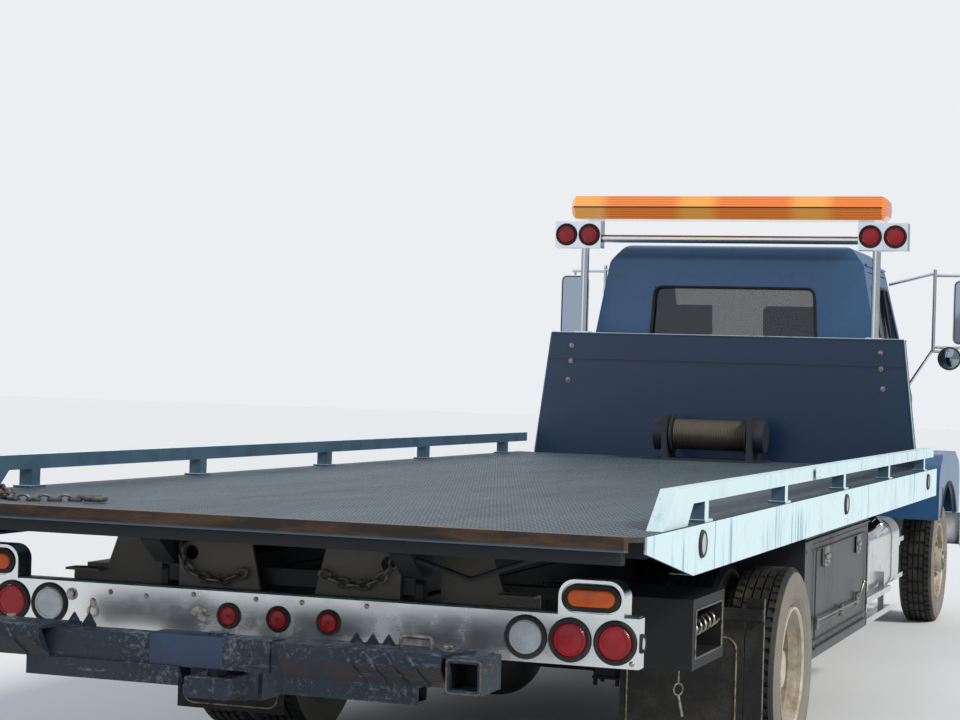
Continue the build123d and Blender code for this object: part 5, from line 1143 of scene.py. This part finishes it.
class TOWTRUCK_OT_cab_fittings(bpy.types.Operator):
    """Screen and rear window seals, wipers, drip rails, roof lamps, grab handles and step grips of the cab"""
    bl_idname = "towtruck.cab_fittings"
    bl_label = "Cab fittings"

    def execute(self, context):
        seals, wipers, gutters, lamps, feet, handles, grips, cap = (bmesh.new() for _ in range(8))
        screen = [screen_point(y, z, 0.002) for y, z in ((-0.78, 1.62), (-0.69, 2.27), (0.69, 2.27), (0.78, 1.62))]
        tube(seals, rounded(screen, 0.05), 0.011, SCREEN_OUT)
        back = [(CAB_LOW.x - 0.001, y, z) for y, z in ((-0.52, 1.62), (-0.49, 2.12), (0.49, 2.12), (0.52, 1.62))]
        tube(seals, rounded(back, 0.05), 0.010, FRONT)
        finished("window_seals", seals, "seal", "chassis")
        for pivot, far in ((0.60, 0.04), (0.02, -0.54)):
            turned(wipers, [(0, 0.030), (0.016, 0.028), (0.020, 0.010), (0.020, -0.004), (0, -0.004)],
                   screen_point(pivot, 1.575), SCREEN_OUT, 20)
            rod(wipers, screen_point(pivot, 1.575, 0.024), screen_point((pivot + far) / 2 - 0.03, 1.690, 0.026),
                0.006, 8, 0.004)
            for lift, radius in ((0.016, 0.005), (0.010, 0.003)):
                rod(wipers, screen_point(pivot - 0.02, 1.660, lift), screen_point(far, 1.720, lift), radius,
                    8 if radius > 0.004 else 6)
        finished("wipers", wipers, "seal", "chassis")
        tank_low, tank_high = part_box("fuel_tank")
        step_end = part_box("cab_steps")[1].x
        for side in BOTH:
            rod(gutters, (CAB_LOW.x + 0.07, side * 0.783, 2.276), (CAB_HIGH.x - 0.40, side * 0.783, 2.276), 0.007, 10)
            for x in (CAB_LOW.x + 0.004, CAB_HIGH.x - 0.012):
                rod(gutters, (x, side * 0.880, 1.300), (x, side * 0.893, 0.860), 0.004, 8)
            x, out = CAB_LOW.x + 0.060, side * 0.965
            swept(handles, [(x, side * 0.905, 1.080)] + [(x, out, z) for z in (1.08, 1.11, 1.25, 1.39, 1.42)]
                  + [(x, side * 0.915, 1.420)], 0.012, 14)
            for z in (1.080, 1.420):
                turned(handles, [(0.012, 0), (0.026, 0), (0.024, 0.006), (0.012, 0.008)],
                       (x, side * (0.9085 + (z - 1.08) * 0.04), z), (0, side, 0), 20)
            for z in (0.418, 0.638):
                for y in (0.740, 0.800, 0.860, 0.920, 0.965):
                    slab(grips, (step_end - 0.250, side * y, z + 0.0015), (0.230, 0.010, 0.0025), 0.0015)
        for y in (-0.56, -0.16, 0.0, 0.16, 0.56):
            made = bmesh.ops.create_uvsphere(lamps, u_segments=24, v_segments=12, radius=1.0)["verts"]
            bmesh.ops.scale(lamps, vec=(0.072, 0.032, 0.032), verts=made)
            bmesh.ops.translate(lamps, vec=(CAB_HIGH.x - 0.52, y, CAB_HIGH.z + 0.006), verts=made)
            slab(feet, (CAB_HIGH.x - 0.522, y, CAB_HIGH.z + 0.003), (0.080, 0.038, 0.005), 0.004)
        neck = Vector((tank_low.x + 0.62, tank_low.y + 0.042, tank_high.z - 0.046))
        push = Vector((0, -1, 1)).normalized()
        turned(cap, [(0, 0.075), (0.046, 0.075), (0.052, 0.068), (0.052, 0.040), (0.044, 0.038), (0.044, -0.010),
                     (0, -0.010)], neck, push, 32)
        for number in range(8):
            angle = pi / 4 * number
            out = Vector((cos(angle), sin(angle) * push.z, sin(angle) * push.z)) * 0.050
            rod(cap, neck + out + push * 0.042, neck + out + push * 0.068, 0.006, 8)
        finished("drip_rails", gutters, "cab_paint", "chassis")
        finished("roof_lamps", lamps, "lens_amber", "chassis")
        finished("roof_lamp_feet", feet, "chrome_bright", "chassis")
        finished("grab_handles", handles, "chrome_bright", "chassis")
        finished("step_grips", grips, "tank_metal", "chassis")
        finished("tank_cap", cap, "chrome_bright", "chassis")
        return {"FINISHED"}


class TOWTRUCK_OT_door_fittings(bpy.types.Operator):
    """Window seals, hinge leaves, locks and arm rests of the cab doors, and the glass of their mirrors"""
    bl_idname = "towtruck.door_fittings"
    bl_label = "Door fittings"

    def execute(self, context):
        for name, side in SIDES:
            body, out = f"cab_door_{name}", (0, side, 0)
            seals, trim, rest, glass, rims = (bmesh.new() for _ in range(5))
            window = [door_point(x, z, side, 0.001) for x, z in (
                (6.785, 1.520), (6.785, 2.155), (7.370, 2.155), (7.655, 1.620), (7.655, 1.520))]
            tube(seals, rounded(window, 0.03), 0.009, (0, side * RISE, LEAN))
            rod(seals, door_point(7.285, 1.525, side, -0.006), door_point(7.285, 2.150, side, -0.006), 0.009, 10)
            finished(f"door_seals_{name}", seals, "seal", body)
            for z in (1.060, 1.390):
                skin = side * (0.900 + (z - 0.830) * 0.025 / 0.65)
                slab(trim, (TAIL + 7.650, skin + side * 0.0005, z), (0.050, 0.0045, 0.022), 0.002)
                for x in (7.620, 7.650, 7.680):
                    hexagon(trim, (TAIL + x, skin + side * 0.005, z), out, 0.012, 0.004)
            turned(trim, [(0, 0.006), (0.009, 0.006), (0.014, 0.004), (0.016, 0), (0, 0)],
                   (TAIL + 6.800, side * 0.9185, 1.315), out, 20)
            finished(f"door_trim_{name}", trim, "chrome_bright", body)
            block(rest, (TAIL + 6.950, side * 0.815, 1.235), (TAIL + 7.300, side * 0.872, 1.285), 0.015, 4)
            finished(f"arm_rest_{name}", rest, "trim_dark", body)
            ring = rounded([(TAIL + 7.528, side * 1.290 + y, 2.030 + z) for y, z in (
                (-0.080, -0.194), (-0.080, 0.194), (0.080, 0.194), (0.080, -0.194))], 0.032)
            plate(glass, ring, (0.003, 0, 0))
            tube(rims, ring, 0.004, FRONT)
            spot = (TAIL + 7.540, side * 1.185, 1.740)
            turned(glass, [(0, 0.010), (0.030, 0.0085), (0.055, 0.004), (0.067, -0.001), (0, -0.001)], spot, REAR, 40)
            turned(rims, [(0.064, 0), (0.072, 0), (0.072, 0.005), (0.067, 0.006)], spot, REAR, 40)
            finished(f"mirror_glass_{name}", glass, "mirror", body)
            finished(f"mirror_rims_{name}", rims, "seal", body)
        return {"FINISHED"}


class TOWTRUCK_OT_nose_fittings(bpy.types.Operator):
    """Head, turn and fog lamps, grille bead, arch lips, nose straps, tow hooks and bolts at the front"""
    bl_idname = "towtruck.nose_fittings"
    bl_label = "Nose fittings"

    def execute(self, context):
        front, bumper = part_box("grille")[1].x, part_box("front_bumper")[1].x
        axle = middle("tyre_front_left").x
        chrome, glass, amber, lips, fogs, hooks = (bmesh.new() for _ in range(6))
        frame_ring(chrome, (front + 0.001, 0, 1.005), (0.378, 0.203), 0.030, 0.008)
        for side in BOTH:
            frame_ring(chrome, (front - 0.034, side * 0.860, 0.920), (0.106, 0.076), 0.016, 0.007)
            for y in (0.811, 0.909):
                spot = (front - 0.045, side * y, 0.920)
                bezel(chrome, spot, 0.043, 0.049, 0.006, 0.010)
                turned(glass, [(0, 0.012), (0.022, 0.011), (0.040, 0.006), (0.0435, 0), (0, 0)], spot, FRONT, 40)
            block(amber, (front - 0.039, side * 0.990, 0.866), (front - 0.014, side * 1.066, 0.974), 0.008, 3)
            arch = []
            for step in range(25):
                angle = radians(36 + 108 * step / 24)
                arch.append((axle + cos(angle) * 0.525, side * 1.109, TYRE_R + sin(angle) * 0.525))
            swept(lips, arch, 0.009, 8)
            slab(lips, (TAIL + 8.020, side * 1.110, 0.8525), (0.020, 0.002, 0.0525), 0.002)
            spot = (bumper, side * 0.730, 0.580)
            bezel(hooks, spot, 0.052, 0.062, 0.008, 0.013)
            turned(fogs, [(0, 0.011), (0.028, 0.010), (0.048, 0.006), (0.0525, 0), (0, 0)], spot, FRONT, 40)
            swept(hooks, [(bumper + x, side * 0.400, z) for x, z in (
                (-0.004, 0.610), (0.020, 0.610), (0.050, 0.610), (0.072, 0.585), (0.060, 0.550), (0.030, 0.545),
                (-0.004, 0.545))], 0.011, 12)
            for y in (0.200, 0.550, 0.860):
                for z in (0.660, 0.500):
                    hexagon(hooks, (bumper, side * y, z), FRONT, 0.020, 0.008, 0.002)
        finished("lamp_bezels", chrome, "chrome_bright", "nose_assembly")
        finished("head_lamp_glass", glass, "lens_clear", "nose_assembly")
        finished("turn_lamps", amber, "lens_amber", "nose_assembly")
        finished("arch_lips", lips, "seal", "nose_assembly")
        finished("fog_lamps", fogs, "lens_clear", "chassis")
        finished("bumper_fittings", hooks, "bolt", "chassis")
        return {"FINISHED"}


class TOWTRUCK_OT_chassis_fittings(bpy.types.Operator):
    """Spring clamps on both axles, rail bolts along the frame and the rope wound on the winch"""
    bl_idname = "towtruck.chassis_fittings"
    bl_label = "Chassis and winch fittings"

    def execute(self, context):
        clamps, bolts, rope = (bmesh.new() for _ in range(3))
        for tyre, low, top in (("tyres_rear_left", 0.330, 0.564), ("tyre_front_left", 0.280, 0.424)):
            x = middle(tyre).x
            for side in BOTH:
                y = side * 0.482
                slab(clamps, (x, y, top + 0.007), (0.075, 0.056, 0.007), 0.003)
                slab(clamps, (x, y, low - 0.002), (0.075, 0.056, 0.006), 0.003)
                for dx, dy in ((-0.055, -0.046), (-0.055, 0.046), (0.055, -0.046), (0.055, 0.046)):
                    rod(clamps, (x + dx, y + dy, low - 0.035), (x + dx, y + dy, top + 0.040), 0.009, 10)
                    hexagon(clamps, (x + dx, y + dy, top + 0.014), (0, 0, 1), 0.026, 0.016)
        finished("spring_clamps", clamps, "chassis_black", "chassis")
        for side in BOTH:
            for x in (0.19, 0.93, 1.36, 2.93, 3.93, 4.93, 5.93):
                for z in (0.660, 0.715, 0.770):
                    hexagon(bolts, (TAIL + x, outer_face("frame_rails", side), z), (0, side, 0), 0.018, 0.008)
        finished("frame_bolts", bolts, "chassis_black", "chassis")
        # one layer of rope on the drum's core, from one cheek to the other
        wire, drum = context.scene.tow_truck_sizes.rope, middle("winch_drum")
        core, reach = 0.080, 0.209
        radius = core + wire * 0.45
        steps = 16 * int(2 * reach / (wire * 1.04))
        path = []
        for step in range(steps + 1):
            angle = 2 * pi * step / 16
            path.append(Vector((drum.x + cos(angle) * radius, -reach + 2 * reach * step / steps,
                                drum.z + sin(angle) * radius)))
        stops = []
        for here, along in headings(path):
            out = Vector((here.x - drum.x, 0, here.z - drum.z)).normalized()
            stops.append((here, out, along.cross(out), along))
        strung(rope, stops, wire / 2, 7)
        finished("winch_rope", rope, "rope", "drum", sharp=60)
        return {"FINISHED"}


class TOWTRUCK_PT_panel(bpy.types.Panel):
    """Tow truck pieces"""
    bl_idname = "TOWTRUCK_PT_panel"
    bl_label = "Tow truck"
    bl_space_type = "VIEW_3D"
    bl_region_type = "UI"
    bl_category = "Tow Truck"

    def draw(self, context):
        for operator in OPERATORS:
            self.layout.operator(operator.bl_idname)
        for group in (context.scene.tow_truck_sizes, context.scene.tow_truck_colours):
            for name in group.__annotations__:
                self.layout.prop(group, name)


OPERATORS = (
    TOWTRUCK_OT_stage, TOWTRUCK_OT_finishes, TOWTRUCK_OT_tyres, TOWTRUCK_OT_wheel_fittings, TOWTRUCK_OT_tail_lamps,
    TOWTRUCK_OT_tail_chains, TOWTRUCK_OT_lift_fittings, TOWTRUCK_OT_tail_fittings, TOWTRUCK_OT_toolbox_fittings,
    TOWTRUCK_OT_headboard_fittings, TOWTRUCK_OT_cab_fittings, TOWTRUCK_OT_door_fittings, TOWTRUCK_OT_nose_fittings,
    TOWTRUCK_OT_chassis_fittings,
)
CLASSES = (TowTruckColours, TowTruckSizes, *OPERATORS, TOWTRUCK_PT_panel)


def register():
    for each in CLASSES:
        bpy.utils.register_class(each)
    bpy.types.Scene.tow_truck_colours = PointerProperty(type=TowTruckColours)
    bpy.types.Scene.tow_truck_sizes = PointerProperty(type=TowTruckSizes)


def unregister():
    del bpy.types.Scene.tow_truck_sizes
    del bpy.types.Scene.tow_truck_colours
    for each in reversed(CLASSES):
        bpy.utils.unregister_class(each)


def main():
    register()
    for operator in OPERATORS:
        group, name = operator.bl_idname.split(".")
        getattr(getattr(bpy.ops, group), name)()


if __name__ == "__main__":
    main()
